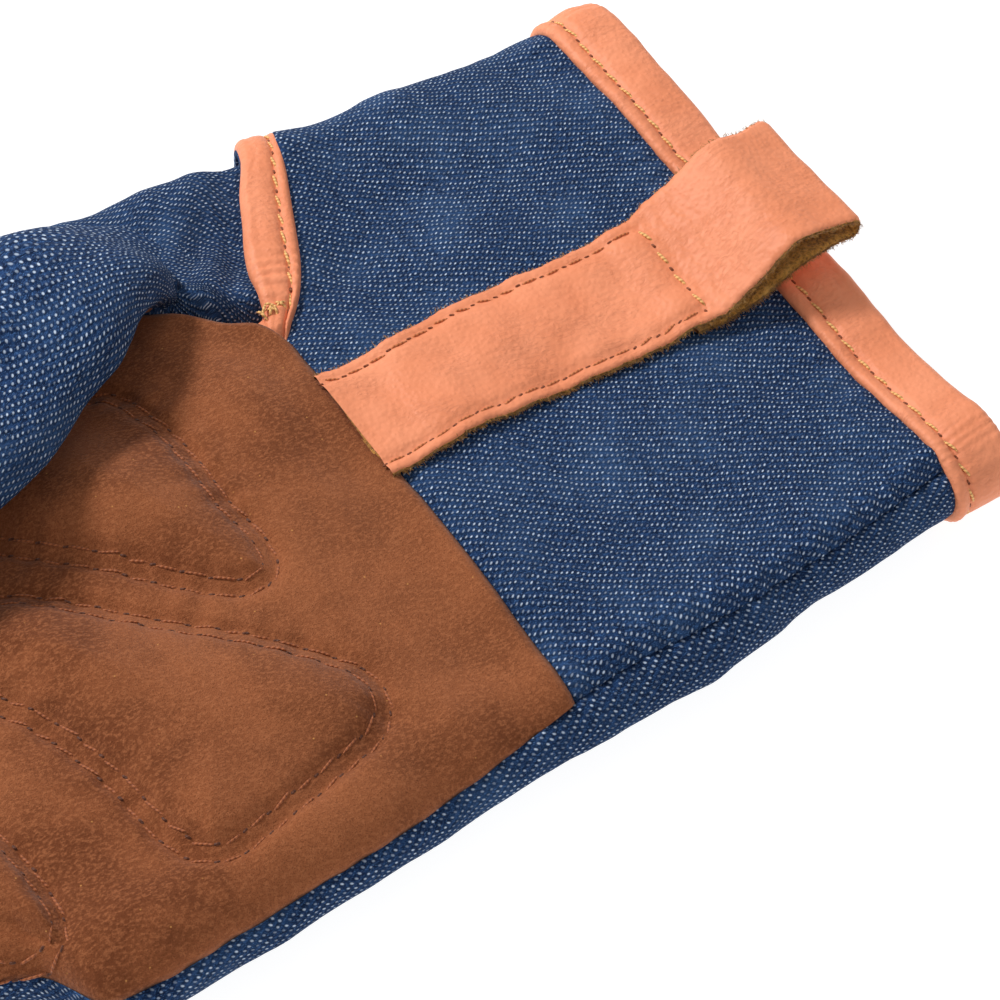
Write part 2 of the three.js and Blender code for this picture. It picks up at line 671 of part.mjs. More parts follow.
// The slit's binding on the cuff's lip, or on the hand's lip
function slitBinding(isCuffSide) {
  const fold = GAP + LEATHER;
  const strip = isCuffSide
    ? slitStrip(-SLIT_BINDING_WIDTH, fold)
    : slitStrip(SLIT_WIDTH - fold, SLIT_WIDTH + SLIT_HAND_BINDING_WIDTH);
  const clothRoom = isCuffSide
    ? slitStrip(-2 * SLIT_BINDING_WIDTH, GAP, BEYOND)
    : slitStrip(SLIT_WIDTH - GAP, SLIT_WIDTH + 2 * SLIT_HAND_BINDING_WIDTH, BEYOND);
  const binding = edgeBinding(strip, clothRoom, CUFF_LENGTH - 2 * SLIT_SLANT - BINDING_WIDTH, ROOT_AT);
  return mainBody(binding.subtract(thumbBody(GAP)));
}

const LOOKS = {
  denim: { color: "#2c4470", roughness: 0.92 },
  suede: { color: "#824c2e", roughness: 0.96 },
  leather: { color: "#e38c60", roughness: 0.55 },
};

const glove = new THREE.Group();

function addPiece(name, look, solid) {
  const mesh = solid.getMesh();
  const geometry = new THREE.BufferGeometry();
  const positions = new Float32Array(mesh.numVert * 3);
  for (let i = 0; i < mesh.numVert; i += 1) {
    for (let axis = 0; axis < 3; axis += 1) {
      positions[i * 3 + axis] = mesh.vertProperties[i * mesh.numProp + axis];
    }
  }
  geometry.setAttribute("position", new THREE.BufferAttribute(positions, 3));
  geometry.setIndex(Array.from(mesh.triVerts));
  geometry.computeVertexNormals();
  const material = new THREE.MeshStandardMaterial({ ...LOOKS[look], metalness: 0 });
  const piece = new THREE.Mesh(geometry, material);
  piece.name = name;
  glove.add(piece);
}

addPiece("cuff_front", "denim", denimCuff());
addPiece("palm_panel", "suede", suedePalm());
addPiece("back_panel", "denim", denimBack());
for (const [first, second] of pairs) {
  const strip = shell.intersect(fourchetteRoom(first, second, -GAP / 2));
  addPiece(`fourchette_${first.name}_${second.name}`, "denim", mainBody(strip));
}
addPiece("thumb_back", "denim", thumbHalf(true));
addPiece("thumb_front", "suede", thumbHalf(false));
addPiece("cuff_binding", "leather", rimBinding());
addPiece("slit_binding_cuff", "leather", slitBinding(true));
addPiece("slit_binding_hand", "leather", slitBinding(false));
addPiece("hanging_strap", "leather", hangingStrap());

// The origin goes to the middle of the footprint, on the ground
const box = new THREE.Box3().setFromObject(glove);
const centre = box.getCenter(new THREE.Vector3());
for (const piece of glove.children) piece.position.set(-centre.x, -centre.y, -box.min.z);

export default glove;
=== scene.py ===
"""A right-hand gardening glove on its back, palm up: denim, suede, smooth leather and their sewing.

The frame gives the glove's place. Shapes are worked out in millimetres in the glove's own terms: s is the
distance from the opening's rim towards the fingertips, y goes to the thumb side and z up. A point of a
section is named by k: 0 to 1 over the top, 1 to 2 down the thumb side, 2 to 3 back under, 3 to 4 up the
little side.
"""

import math

import bmesh
import bpy
import numpy as np
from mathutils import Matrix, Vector
from mathutils.bvhtree import BVHTree


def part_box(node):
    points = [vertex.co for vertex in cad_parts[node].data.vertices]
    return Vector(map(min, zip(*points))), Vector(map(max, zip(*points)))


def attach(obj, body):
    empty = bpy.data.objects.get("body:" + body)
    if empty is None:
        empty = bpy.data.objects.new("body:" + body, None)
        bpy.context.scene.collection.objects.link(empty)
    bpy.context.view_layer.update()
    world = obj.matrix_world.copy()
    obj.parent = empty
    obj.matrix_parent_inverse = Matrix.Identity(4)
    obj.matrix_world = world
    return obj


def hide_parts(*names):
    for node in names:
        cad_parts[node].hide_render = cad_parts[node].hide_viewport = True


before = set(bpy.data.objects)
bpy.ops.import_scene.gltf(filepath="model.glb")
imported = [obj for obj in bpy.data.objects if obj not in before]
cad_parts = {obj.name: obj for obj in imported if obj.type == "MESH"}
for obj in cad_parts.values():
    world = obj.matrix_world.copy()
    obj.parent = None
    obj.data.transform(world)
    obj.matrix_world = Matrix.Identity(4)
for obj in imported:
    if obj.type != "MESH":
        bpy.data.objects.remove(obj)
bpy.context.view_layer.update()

# Sizes of the glove in millimetres
CUFF = 79.0
PALM = 98.0
ROOT = CUFF + PALM
RIM_SLANT = 0.045
HALF = 62.0
HIGH = 20.0
ROLL = 8.0
LIFT = 1.5
CLOTH = 1.2
LEATHER = 1.2
FINGER_WIDTH = 25.0
FINGER_HIGH = 15.5
FINGER_LENGTH = 82.0
FINGER_CURL = 5.0
SETBACK = 9.0
THUMB_WIDTH = 35.0
THUMB_HIGH = 15.0
THUMB_REACH = 84.0
THUMB_START = 84.0
CUFF_SEAM = 12.3
PALM_SEAM = 9.7
THUMB_SEAM = 6.0
BINDING = 9.6
SLIT_APEX = 22.0
SLIT_SLANT = 17.0
SLIT_GAP = 3.7
SLIT_BACK_APEX = 42.0
SLIT_BINDING = 7.6
STRAP_MIDDLE = -1.0
STRAP_STITCH = 22.0

# Sections: at, little side, thumb side, heights of little roll, middle and thumb roll, lift
SECTIONS = np.array([
    [0.0, 0.905, 0.965, 0.77, 0.66, 0.77, 1],
    [0.13, 0.92, 0.975, 0.77, 0.65, 0.76, 1],
    [0.35, 0.945, 0.985, 0.76, 0.67, 0.75, 1],
    [0.6, 0.965, 0.98, 0.75, 0.72, 0.74, 1],
    [0.8, 0.965, 0.96, 0.73, 0.79, 0.72, 1],
    [1.0, 0.965, 0.985, 0.71, 0.86, 0.7, 1],
    [1.15, 0.985, 1.02, 0.73, 0.94, 0.76, 0.3],
    [1.35, 1.02, 0.985, 0.77, 0.95, 0.84, 0],
    [1.55, 1.045, 0.93, 0.79, 0.93, 0.86, 0],
    [1.75, 1.04, 0.83, 0.79, 0.9, 0.84, 0],
    [1.9, 0.975, 0.755, 0.78, 0.84, 0.8, 0],
    [2.0, 0.92, 0.71, 0.76, 0.78, 0.77, 0],
])
AT, LITTLE, THUMB, ROLL_LITTLE, MID, ROLL_THUMB, LIFTED = range(7)

# Dents: at, side, half size along, half size across, turn in degrees, rise as a share of HIGH
DENTS = [
    (1.12, 0.52, 0.2, 0.14, 20, -0.04),
    (1.3, 0.3, 0.3, 0.1, 35, -0.08),
    (1.65, 0.3, 0.5, 0.34, 30, -0.12),
    (0.7, 0.45, 0.3, 0.12, 50, -0.05),
    (0.0, -0.52, 0.5, 0.36, 0, -0.2),
    (0.0, 0.75, 0.3, 0.3, 0, -0.05),
]

# Fingers: name, side, width, length, splay in degrees, setback
FINGERS = [
    ("index", 0.51, 0.98, 0.9, 3.0, 0.1),
    ("middle", 0.085, 1.0, 1.0, 0.4, 0.0),
    ("ring", -0.335, 0.97, 0.93, -3.0, 0.15),
    ("little", -0.735, 0.92, 0.79, -7.5, 0.8),
]

# Thumb: ahead, side, up, width, height
THUMB_ROWS = np.array([
    [0, 0.76, 0.42, 0.7, 0.6],
    [0.12, 0.745, 0.64, 0.87, 0.84],
    [0.26, 0.645, 1, 1.02, 0.98],
    [0.42, 0.48, 1.14, 1.09, 1],
    [0.6, 0.32, 1.25, 1.09, 1],
    [0.78, 0.17, 1.32, 1, 0.94],
    [0.92, 0.065, 1.27, 0.78, 0.8],
    [1, 0.02, 1.22, 0.38, 0.46],
])

# Edge of the suede on the thumb side: at, side
SUEDE_EDGE = np.array([
    [1.0, 0.25],
    [1.03, 0.32],
    [1.07, 0.4],
    [1.12, 0.5],
    [1.2, 0.58],
    [1.4, 0.69],
    [1.6, 0.84],
    [1.74, 1.02],
])

# Corners of the sewn pads, as s and y
PADS = {
    "root_pad": [
        (104, -8), (103, -15), (104, -20.5), (108, -20.5), (113, -16), (120, -8.5), (127, -1.5), (133, 8),
        (130, 19), (109, 21), (105, 12), (104, 2),
    ],
    "heel_pad": [
        (102, -45), (105, -50), (113, -52.6), (122, -54.8), (131, -56.2), (134.5, -51), (136.5, -40),
        (140, -28.5), (145, -20), (152, -12), (148, -5), (138, -6), (125, -18), (113, -29.5), (104, -39.7),
    ],
    "knuckle_pad": [
        (155.3, -43), (154.6, -51), (156, -56), (161, -56.5), (168, -54), (174, -46), (176, -34), (171, -24),
        (163, -28), (158, -35),
    ],
}

# Where the frame puts the rim's middle
_, palm_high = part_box("palm_panel")
strap_low, strap_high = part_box("hanging_strap")
X_SHIFT = palm_high[0] * 1000 + CUFF + 0.15
Y_SHIFT = (strap_low[1] + strap_high[1]) * 500 - STRAP_MIDDLE


def smooth(t):
    c = np.clip(t, 0, 1)
    return c * c * (3 - 2 * c)


def at_of(s):
    s = np.asarray(s, float)
    return np.where(s <= CUFF, s / CUFF, 1 + (s - CUFF) / PALM)


def s_of(at):
    return at * CUFF if at <= 1 else CUFF + (at - 1) * PALM


def curve(xs, ys, x):
    """A smooth curve through the points xs, ys, level past its ends."""
    xs, ys, x = np.asarray(xs, float), np.asarray(ys, float), np.asarray(x, float)
    slopes = np.empty_like(ys)
    slopes[1:-1] = (ys[2:] - ys[:-2]) / (xs[2:] - xs[:-2])
    slopes[0] = (ys[1] - ys[0]) / (xs[1] - xs[0])
    slopes[-1] = (ys[-1] - ys[-2]) / (xs[-1] - xs[-2])
    c = np.clip(x, xs[0], xs[-1])
    i = np.clip(np.searchsorted(xs, c, side="right") - 1, 0, len(xs) - 2)
    span = xs[i + 1] - xs[i]
    t = (c - xs[i]) / span
    bow = (3 - 2 * t) * t * t
    bend = (t * (1 - t) ** 2 * slopes[i] - t * t * (1 - t) * slopes[i + 1]) * span
    return ys[i] * (1 - bow) + ys[i + 1] * bow + bend


def column(name, s):
    return curve(SECTIONS[:, AT], SECTIONS[:, name], at_of(s))


class Waves:
    """Smooth seeded noise: a sum of slanted sines."""

    def __init__(self, seed, size, count=14):
        rng = np.random.default_rng(seed)
        turn = rng.uniform(0, 2 * math.pi, count)
        pitch = 2 * math.pi / (size * rng.uniform(0.7, 1.6, count))
        self.kx, self.ky = np.cos(turn) * pitch, np.sin(turn) * pitch
        self.phase = rng.uniform(0, 2 * math.pi, count)
        self.scale = math.sqrt(2.0 / count)

    def __call__(self, x, y):
        x, y = np.asarray(x, float)[..., None], np.asarray(y, float)[..., None]
        return np.sin(x * self.kx + y * self.ky + self.phase).sum(-1) * self.scale


def sizes_at(s):
    s = np.maximum(0, s)
    first = -column(LITTLE, s) * HALF + ROLL
    last = column(THUMB, s) * HALF - ROLL
    return first, last, column(LIFTED, s) * LIFT


def dents(s, y):
    height = np.zeros(np.broadcast(s, y).shape)
    for at, side, along, across, turn, rise in DENTS:
        ds = (s - s_of(at)) / HALF
        dy = y / HALF - side
        c, n = math.cos(math.radians(turn)), math.sin(math.radians(turn))
        a = (ds * c - dy * n) / along
        b = (ds * n + dy * c) / across
        height = height + rise * HIGH * np.exp(-(a**2 + b**2))
    return height


def thumb_middle(ahead):
    """Middle line and half sizes of the thumb: s, y, z, half width, half height."""
    rows = THUMB_ROWS
    s = THUMB_START + np.asarray(ahead, float) * THUMB_REACH
    get = lambda i: curve(rows[:, 0], rows[:, i], ahead)
    return s, get(1) * HALF, get(2) * HIGH, get(3) * THUMB_WIDTH / 2, get(4) * THUMB_HIGH / 2


def top_height(s, y):
    s = np.maximum(0, s)
    first, last, _ = sizes_at(s)
    t = np.clip((y - first) / (last - first), 0, 1)
    a, m, b = (column(i, s) * HIGH for i in (ROLL_LITTLE, MID, ROLL_THUMB))
    low = a + (m - a) * smooth(2 * t)
    high = m + (b - m) * smooth(2 * t - 1)
    return np.where(t < 0.5, low, high) + dents(s, y)


def shift_at(s, y):
    s = np.maximum(0, s)
    slant = RIM_SLANT * y * np.clip(1 - s / CUFF, 0, 1)
    knuckles = smooth((at_of(s) - 1.7) / 0.3) * np.clip(-y / HALF, 0, 1) ** 2
    return slant + SETBACK * knuckles


def place(s, y, z):
    return np.stack([-s + shift_at(s, y), y + 0 * s, z + 0 * s], -1)


def sag_at(s):
    """How far the little side's cloth bulges under its seam."""
    places = [0, 20, 45, 52, 60, 75, 90, 100, 112, 130, 150, 162, 177]
    return curve(places, [0, 0.6, 1.6, 2.6, 5.4, 5.8, 4.6, 5.4, 4.2, 4.6, 5.4, 4, 0], s)


def hand_point(s, k):
    """The point k of the hand's section at s."""
    s, k = np.broadcast_arrays(np.asarray(s, float), np.asarray(k, float) % 4)
    first, last, low = sizes_at(s)
    y_top = first + (last - first) * np.clip(k, 0, 1)
    top = top_height(s, y_top)
    thumb_side = (k > 1) & (k < 2)
    little_side = k > 3
    edge = np.where(thumb_side, last, first)
    edge_top = top_height(s, edge)
    turn = np.where(thumb_side, k - 1, 4 - k) * math.pi
    middle = (edge_top + low) / 2
    side_y = edge + np.where(thumb_side, 1, -1) * ROLL * np.sin(turn)
    side_y = side_y - np.where(little_side, sag_at(s) * np.sin(turn) * (1 - np.cos(turn)) / 2, 0)
    side_z = middle + (edge_top - middle) * np.cos(turn)
    y = np.where(k <= 1, y_top, np.where(thumb_side | little_side, side_y, last + (first - last) * (k - 2)))
    z = np.where(k <= 1, top, np.where(thumb_side | little_side, side_z, low))
    return place(s, y, z)


def seam_k(s, z, is_thumb):
    """Where a seam at height z lies on a side of the section at s."""
    first, last, low = sizes_at(s)
    edge_top = top_height(s, last if is_thumb else first)
    middle = (edge_top + low) / 2
    turn = np.arccos(np.clip((z - middle) / (edge_top - middle), -1, 1)) / math.pi
    return 1 + turn if is_thumb else 4 - turn


def unit(v):
    return v / np.maximum(np.linalg.norm(v, axis=-1, keepdims=True), 1e-9)


def grid_normals(points, flip):
    rows = np.gradient(points, axis=0)
    across = np.gradient(points, axis=1)
    normal = unit(np.cross(across, rows))
    return -normal if flip else normal


def arc_lengths(points, axis):
    step = np.linalg.norm(np.diff(points, axis=axis), axis=-1)
    zero = np.zeros_like(np.take(step, [0], axis=axis))
    return np.cumsum(np.concatenate([zero, step], axis=axis), axis=axis)


def line_distance(s, y, line, is_closed=False):
    """Distance from points to a polyline, and the length along it of the nearest point."""
    line = np.asarray(line, float)
    if is_closed:
        line = np.vstack([line, line[:1]])
    best = np.full(np.shape(s), 1e9)
    along = np.zeros(np.shape(s))
    run = 0.0
    for a, b in zip(line[:-1], line[1:]):
        d = b - a
        length = math.hypot(*d)
        t = np.clip(((s - a[0]) * d[0] + (y - a[1]) * d[1]) / (length * length), 0, 1)
        distance = np.hypot(s - a[0] - t * d[0], y - a[1] - t * d[1])
        closer = distance < best
        best = np.where(closer, distance, best)
        along = np.where(closer, run + t * length, along)
        run += length
    return best, along


def is_inside(s, y, line):
    inside = np.zeros(np.shape(s), bool)
    for a, b in zip(line, np.roll(line, -1, axis=0)):
        crosses = (a[1] > y) != (b[1] > y)
        with np.errstate(divide="ignore", invalid="ignore"):
            reach = (b[0] - a[0]) * (y - a[1]) / (b[1] - a[1]) + a[0]
        inside ^= crosses & (s < reach)
    return inside


def rounded(corners, steps=8):
    """A closed smooth line through corners."""
    p = np.asarray(corners, float)
    points = []
    for i in range(len(p)):
        p0, p1, p2, p3 = (p[(i + j) % len(p)] for j in (-1, 0, 1, 2))
        for t in np.arange(steps) / steps:
            tension = 0.5
            m1, m2 = tension * (p2 - p0), tension * (p3 - p1)
            h1, h2 = 2 * t**3 - 3 * t**2 + 1, t**3 - 2 * t**2 + t
            h3, h4 = -2 * t**3 + 3 * t**2, t**3 - t**2
            points.append(h1 * p1 + h2 * m1 + h3 * p2 + h4 * m2)
    return np.array(points)


PAD_LINES = {name: rounded(corners) for name, corners in PADS.items()}


class Waves3:
    """Smooth seeded noise over places in space."""

    def __init__(self, seed, size, count=16):
        rng = np.random.default_rng(seed)
        turn = unit(rng.normal(size=(count, 3)))
        self.k = turn * (2 * math.pi / (size * rng.uniform(0.7, 1.6, (count, 1))))
        self.phase = rng.uniform(0, 2 * math.pi, count)
        self.scale = math.sqrt(2.0 / count)

    def __call__(self, points):
        return np.sin(points @ self.k.T + self.phase).sum(-1) * self.scale


BROAD = Waves3(11, 34)
MIDDLE = Waves3(12, 15)
SMALL = Waves3(13, 6)
SLIT_SLOPE = SLIT_SLANT / (HALF - SLIT_APEX)
SLIT_STRETCH = math.hypot(1, SLIT_SLOPE)
SIDE_ARC = 23.0


def slit_s(y):
    return CUFF - SLIT_SLOPE * (y - SLIT_APEX)


def past_slit(s, y):
    """Distance past the slit's line, towards the hand."""
    return (s - slit_s(y)) / SLIT_STRETCH


def surface(point, s, k, step=0.01, s_step=0.5):
    """Points and outward normals of a surface given as point(s, k)."""
    p = point(s, k)
    across = point(s, k + step) - point(s, k - step)
    along = point(s + s_step, k) - point(s - s_step, k)
    return p, unit(np.cross(across, along))


def thumb_cover(s, y):
    """How high the cloth over the thumb's root rises at a place of the palm."""
    ahead = np.linspace(0, 1, 25)
    ms, my, _, _, _ = thumb_middle(ahead)
    distance, along = line_distance(s, y, np.stack([ms, my], -1))
    runs = np.concatenate([[0], np.cumsum(np.hypot(np.diff(ms), np.diff(my)))])
    at = np.interp(along, runs, ahead)
    _, _, z, w, h = thumb_middle(at)
    edge = np.clip(1 - (distance / (w + 1.5)) ** 2, 0, 1)
    fade = 1 - smooth((s - 97) / 15)
    near_s, near_y = np.interp(at, ahead, ms), np.interp(at, ahead, my)
    inward = (s - near_s) * -0.48 - (y - near_y) * 0.88
    over = mix(0.9, -1.4, smooth((inward + 4) / 6)) - 3.0 * smooth((at - 0.05) / 0.14)
    tilt = np.sin(thumb_roll(at)) * inward
    return (z + tilt + h * np.sqrt(edge) + over) * np.where(edge > 0, 1, 0), fade * smooth(edge * 2.2)


def thumb_roll(ahead):
    """How far the thumb is rolled, its inner edge up."""
    return np.radians(curve([0, 0.12, 0.3, 0.5, 0.8, 1], [12, 15, 14, 9, 4, 0], ahead))


def hand_cloth(s, k):
    """The hand with the cloth that rises over the thumb's root."""
    p = hand_point(s, k)
    on_top = (np.asarray(k, float) % 4) <= 1
    cover, fade = thumb_cover(-p[..., 0], p[..., 1])
    rise = np.maximum(0, cover - p[..., 2]) * fade
    p[..., 2] += np.where(on_top, rise, 0)
    return p


def lips(past, y, normals, is_hand_side):
    """How far the slit's two lips stand out of the glove or sink into it."""
    near = smooth((y - SLIT_APEX + 3) / 8)
    back_from = np.clip(-past, 0, None)
    cuff_side = 2.0 * np.exp(-back_from / 7) - 1.3 * np.exp(-(((back_from - 14) / 6.5) ** 2))
    sink = np.clip(normals[..., 2], 0, 1) ** 3
    hand_side = -3.6 * np.exp(-np.clip(past - SLIT_GAP, 0, None) / 9) * sink
    return near * np.where(is_hand_side, hand_side, cuff_side)


def cloth_waves(p, amount=1.0):
    return amount * (0.42 * BROAD(p) + 0.24 * MIDDLE(p) + 0.05 * SMALL(p))


def hand_skin(s, k, extra=0.0, waves=1.0, base=hand_cloth, is_wrap=False, lip_share=1.0):
    """The glove's outer skin round cuff and palm, moved out by extra."""
    s, k = np.broadcast_arrays(np.asarray(s, float), np.asarray(k, float))
    p, n = surface(base, s, k)
    y = p[..., 1]
    under = smooth((6 - p[..., 2]) / 4)
    waves_here = cloth_waves(p, waves) * (1 - under)
    past = past_slit(s, y)
    lip = lip_share * lips(past, y, n, (past > SLIT_GAP / 2) | is_wrap)
    return p + n * (waves_here + lip * (1 - 0.85 * under) + extra)[..., None], n


def k_of(s, q):
    """The section's point at a run of q: under zero is the little side, then the back."""
    first, last, _ = sizes_at(s)
    width = last - first
    q = np.asarray(q, float)
    low = np.where(q < -SIDE_ARC, 3 + (q + SIDE_ARC) / width, 4 + q / SIDE_ARC)
    low = np.where(q < -SIDE_ARC - width, 2 + (q + SIDE_ARC + width) / SIDE_ARC, low)
    high = np.where(q > width + SIDE_ARC, 2 + (q - width - SIDE_ARC) / width, 1 + (q - width) / SIDE_ARC)
    return np.where(q < 0, low, np.where(q <= width, q / width, high))


def little_seam_height(s):
    ease = smooth((s - CUFF * 0.8) / (CUFF * 0.5))
    return CUFF_SEAM + (PALM_SEAM - CUFF_SEAM) * ease


def thumb_seam_height(s):
    return THUMB_SEAM + (PALM_SEAM - THUMB_SEAM) * smooth((at_of(s) - 1.5) / 0.4)


def little_seam_q(s):
    return (seam_k(s, little_seam_height(s), False) - 4) * SIDE_ARC


def thumb_seam_q(s):
    first, last, _ = sizes_at(s)
    return last - first + (seam_k(s, thumb_seam_height(s), True) - 1) * SIDE_ARC


def suede_edge_q(s):
    first, last, _ = sizes_at(s)
    side = curve(SUEDE_EDGE[:, 0], SUEDE_EDGE[:, 1], at_of(s)) * HALF
    return np.minimum(side - first, last - first)


def suede_end_q(s):
    ease = smooth((at_of(s) - 1.42) / 0.32)
    return suede_edge_q(s) * (1 - ease) + thumb_seam_q(s) * ease


def edge_roll(distance, depth=0.8, reach=0.9):
    """A panel's edge turns in towards its seam."""
    return -depth * np.exp(-((distance / reach) ** 2))


def puckers(along, distance, seed, pitch=4.6, height=0.28, reach=3.2):
    """Small gathers that a seam pulls into the cloth beside it."""
    rng = np.random.default_rng(seed)
    drift = Waves(seed, 30, 8)(along, along * 0.3)
    return height * np.sin(2 * math.pi * along / pitch + 1.8 * drift + rng.uniform(0, 6)) * np.exp(
        -((distance / reach) ** 2)
    )


class Piece:
    """Grids of points that become one mesh, with the cloth's own run in millimetres as its UV map."""

    def __init__(self, name):
        self.name = name
        self.points, self.faces, self.runs, self.slots = [], [], [], []
        self.count = 0

    def grid(self, points, runs, flip=False, close_rows=False, close_columns=False, slot=0, keep=None):
        rows, columns = points.shape[:2]
        index = np.arange(rows * columns).reshape(rows, columns) + self.count
        run = np.asarray(runs, float)
        if close_rows:
            index = np.vstack([index, index[:1]])
        if close_columns:
            index = np.hstack([index, index[:, :1]])
        quads = np.stack([index[:-1, :-1], index[:-1, 1:], index[1:, 1:], index[1:, :-1]], -1)
        if keep is not None:
            quads = quads[keep]
        quads = quads.reshape(-1, 4)
        self.add(points.reshape(-1, 3), quads[:, ::-1] if flip else quads, run.reshape(-1, 2), slot)

    def add(self, points, quads, runs, slot=0):
        self.points.append(points)
        self.faces.append(quads)
        self.runs.append(runs)
        self.slots.append(np.full(len(quads), slot) if np.isscalar(slot) else slot)
        self.count += len(points)

    def build(self, materials, nodes=(), solid=None, weld=0.02, rim_slot=0, inner_slot=0):
        points = np.concatenate(self.points)
        faces = np.concatenate(self.faces)
        runs = np.concatenate(self.runs)
        points[:, 2] = np.maximum(points[:, 2], 0.02)
        place_in_frame = (points + [X_SHIFT, Y_SHIFT, 0]) / 1000
        mesh = bpy.data.meshes.new(self.name)
        mesh.from_pydata(place_in_frame.tolist(), [], faces.tolist())
        layer = mesh.uv_layers.new(name="cloth")
        layer.data.foreach_set("uv", runs[faces.reshape(-1)].reshape(-1).astype(np.float32))
        mesh.polygons.foreach_set("material_index", np.concatenate(self.slots).astype(np.int32))
        mesh.polygons.foreach_set("use_smooth", np.ones(len(faces), bool))
        for material in materials:
            mesh.materials.append(material)
        piece = bpy.data.objects.new(self.name, mesh)
        bpy.context.scene.collection.objects.link(piece)
        if weld:

            work = bmesh.new()
            work.from_mesh(mesh)
            bmesh.ops.remove_doubles(work, verts=work.verts, dist=weld / 1000)
            work.to_mesh(mesh)
            work.free()
        if solid:
            wall = piece.modifiers.new("wall", "SOLIDIFY")
            wall.thickness = solid / 1000
            wall.offset = -1
            wall.use_even_offset = False
            wall.material_offset = inner_slot
            wall.material_offset_rim = rim_slot
        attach(piece, "root")
        if nodes:
            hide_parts(*nodes)
        return piece


def mix(a, b, t):
    return a + (b - a) * t


def side_of(s, q):
    """Plan place across the glove of a run of q."""
    return hand_point(s, k_of(s, q))[..., 1]


# Relief of the palm: sewn pads, folds and gathers
def pad_depth(s, y, line):
    distance, along = line_distance(s, y, line, True)
    return np.where(is_inside(s, y, line), distance, -distance), along


def pads_relief(s, y):
    height = np.zeros(np.broadcast(s, y).shape)
    for i, line in enumerate(PAD_LINES.values()):
        depth, along = pad_depth(s, y, line)
        inside = 3.5 * (1 - np.exp(-np.clip(depth, 0, None) / 5.5))
        outside = -0.9 * np.exp(-np.clip(-depth - ROW_GAP, 0, None) / 5.5) * smooth(-depth / 1.5)
        rows = -0.6 * np.exp(-((depth / 0.8) ** 2)) - 0.6 * np.exp(-(((depth + ROW_GAP) / 0.8) ** 2))
        gathers = puckers(along, depth + ROW_GAP / 2, 40 + i, 5.2, 0.2, 4.0)
        height = height + inside + outside + rows + gathers
    return height


ROW_GAP = 2.1


def palm_relief(s, q):
    y = side_of(s, q)
    left = q - little_seam_q(s)
    right = suede_end_q(s) - q
    edge = edge_roll(s - CUFF, 1.0, 0.8) + 0.95 * (1 - smooth((s - CUFF) / 7))
    thumb_edge = edge_roll(right, 0.9, 1.0)
    over_pocket = 1.6 * np.exp(-right / 5) * (1 - smooth((s - 93) / 10)) * smooth((y - 16) / 6)
    gathers = puckers(s, left, 61, 7.0, 0.08, 3.4)
    over_leather = 1.3 * np.exp(-(((y - 18.5) / 4.5) ** 2) - ((s - 80) / 4.0) ** 2)
    folds = 0.55 * np.sin((s * 0.82 + y * 0.57 + 3 * BROAD2(s, y)) / 3.4) * smooth((y + 5) / 25) * np.exp(
        -(((s - 96) / 12) ** 2)
    )
    return (
        pads_relief(s, y) + edge_roll(left, 0.5) + edge + thumb_edge + over_pocket + gathers + folds
        + over_leather
    )


BROAD2 = Waves(14, 40)


# Fingers, in millimetres: root, side, direction, length, width and height
class Finger:
    def __init__(self, side, wide, long, splay, back):
        turn = math.radians(splay)
        self.root = ROOT - back * SETBACK
        self.side = side * HALF
        self.along = (math.cos(turn), math.sin(turn))
        self.length = long * FINGER_LENGTH
        self.half = wide * FINGER_WIDTH / 2

    def section(self, a):
        t = a / self.length
        near = np.clip((t - 0.8) / 0.2, 0, 1)
        wide = curve([-0.3, 0.04, 0.4, 0.8], [0.97, 0.98, 1, 0.95], t) * np.sqrt(1 - near**2.3 + 1e-9)
        high = curve([-0.3, 0.04, 0.4, 0.8], [0.95, 1, 1, 0.95], t) * np.sqrt(1 - near**2.6 + 1e-9)
        s = self.root + a * self.along[0]
        curl = FINGER_CURL * np.clip((s - ROOT) / FINGER_LENGTH, 0, None) ** 2
        return self.half * wide, FINGER_HIGH * high, (FINGER_HIGH - FINGER_HIGH * high) / 2 + curl

    def point(self, a, k):
        """The point k of the finger's section at a distance a past its root."""
        a, k = np.broadcast_arrays(np.asarray(a, float), np.asarray(k, float))
        half, high, lift = self.section(a)
        roll = np.minimum(half, high / 2) * 0.98
        flat = half - roll
        crown = 0.9 * np.sin(np.clip(k, 0, 1) * math.pi) * np.clip(high / FINGER_HIGH, 0, 1)
        side = np.where((k > 1) & (k < 2), 1, -1)
        turn = np.where(side > 0, k - 1, 4 - k) * math.pi
        rolled = (k > 1) & (k < 2) | (k > 3)
        across = np.where(
            k <= 1,
            mix(-flat, flat, k),
            np.where(rolled, side * (flat + roll * np.sin(turn)), mix(flat, -flat, k - 2)),
        )
        up = np.where(k <= 1, high + crown, np.where(rolled, high / 2 * (1 + np.cos(turn)), 0)) + lift
        s = self.root + a * self.along[0] - across * self.along[1]
        y = self.side + a * self.along[1] + across * self.along[0]
        return np.stack([-s, y, up], -1)

    def seam(self, a, share, is_thumb):
        """Where a seam at a share of the finger's height lies; the seams meet at the tip."""
        share = mix(share, 0.55, smooth((a / self.length - 0.7) / 0.25))
        turn = np.arccos(np.clip(2 * share - 1, -1, 1)) / math.pi
        return 1 + turn if is_thumb else 4 - turn

    def front(self, a, w):
        """The front panel, w from 0 at its seam on the little side to 1 on the thumb side."""
        low = self.seam(a, self.front_little, False) - 4
        high = self.seam(a, self.front_thumb, True)
        k = mix(low, high, w)
        return self.point(a, np.where(k < 0, k + 4, k)), k

    def back(self, a, w):
        low = self.seam(a, self.back_little, False)
        high = self.seam(a, self.back_thumb, True)
        k = mix(low, high, w)
        return self.point(a, k), k


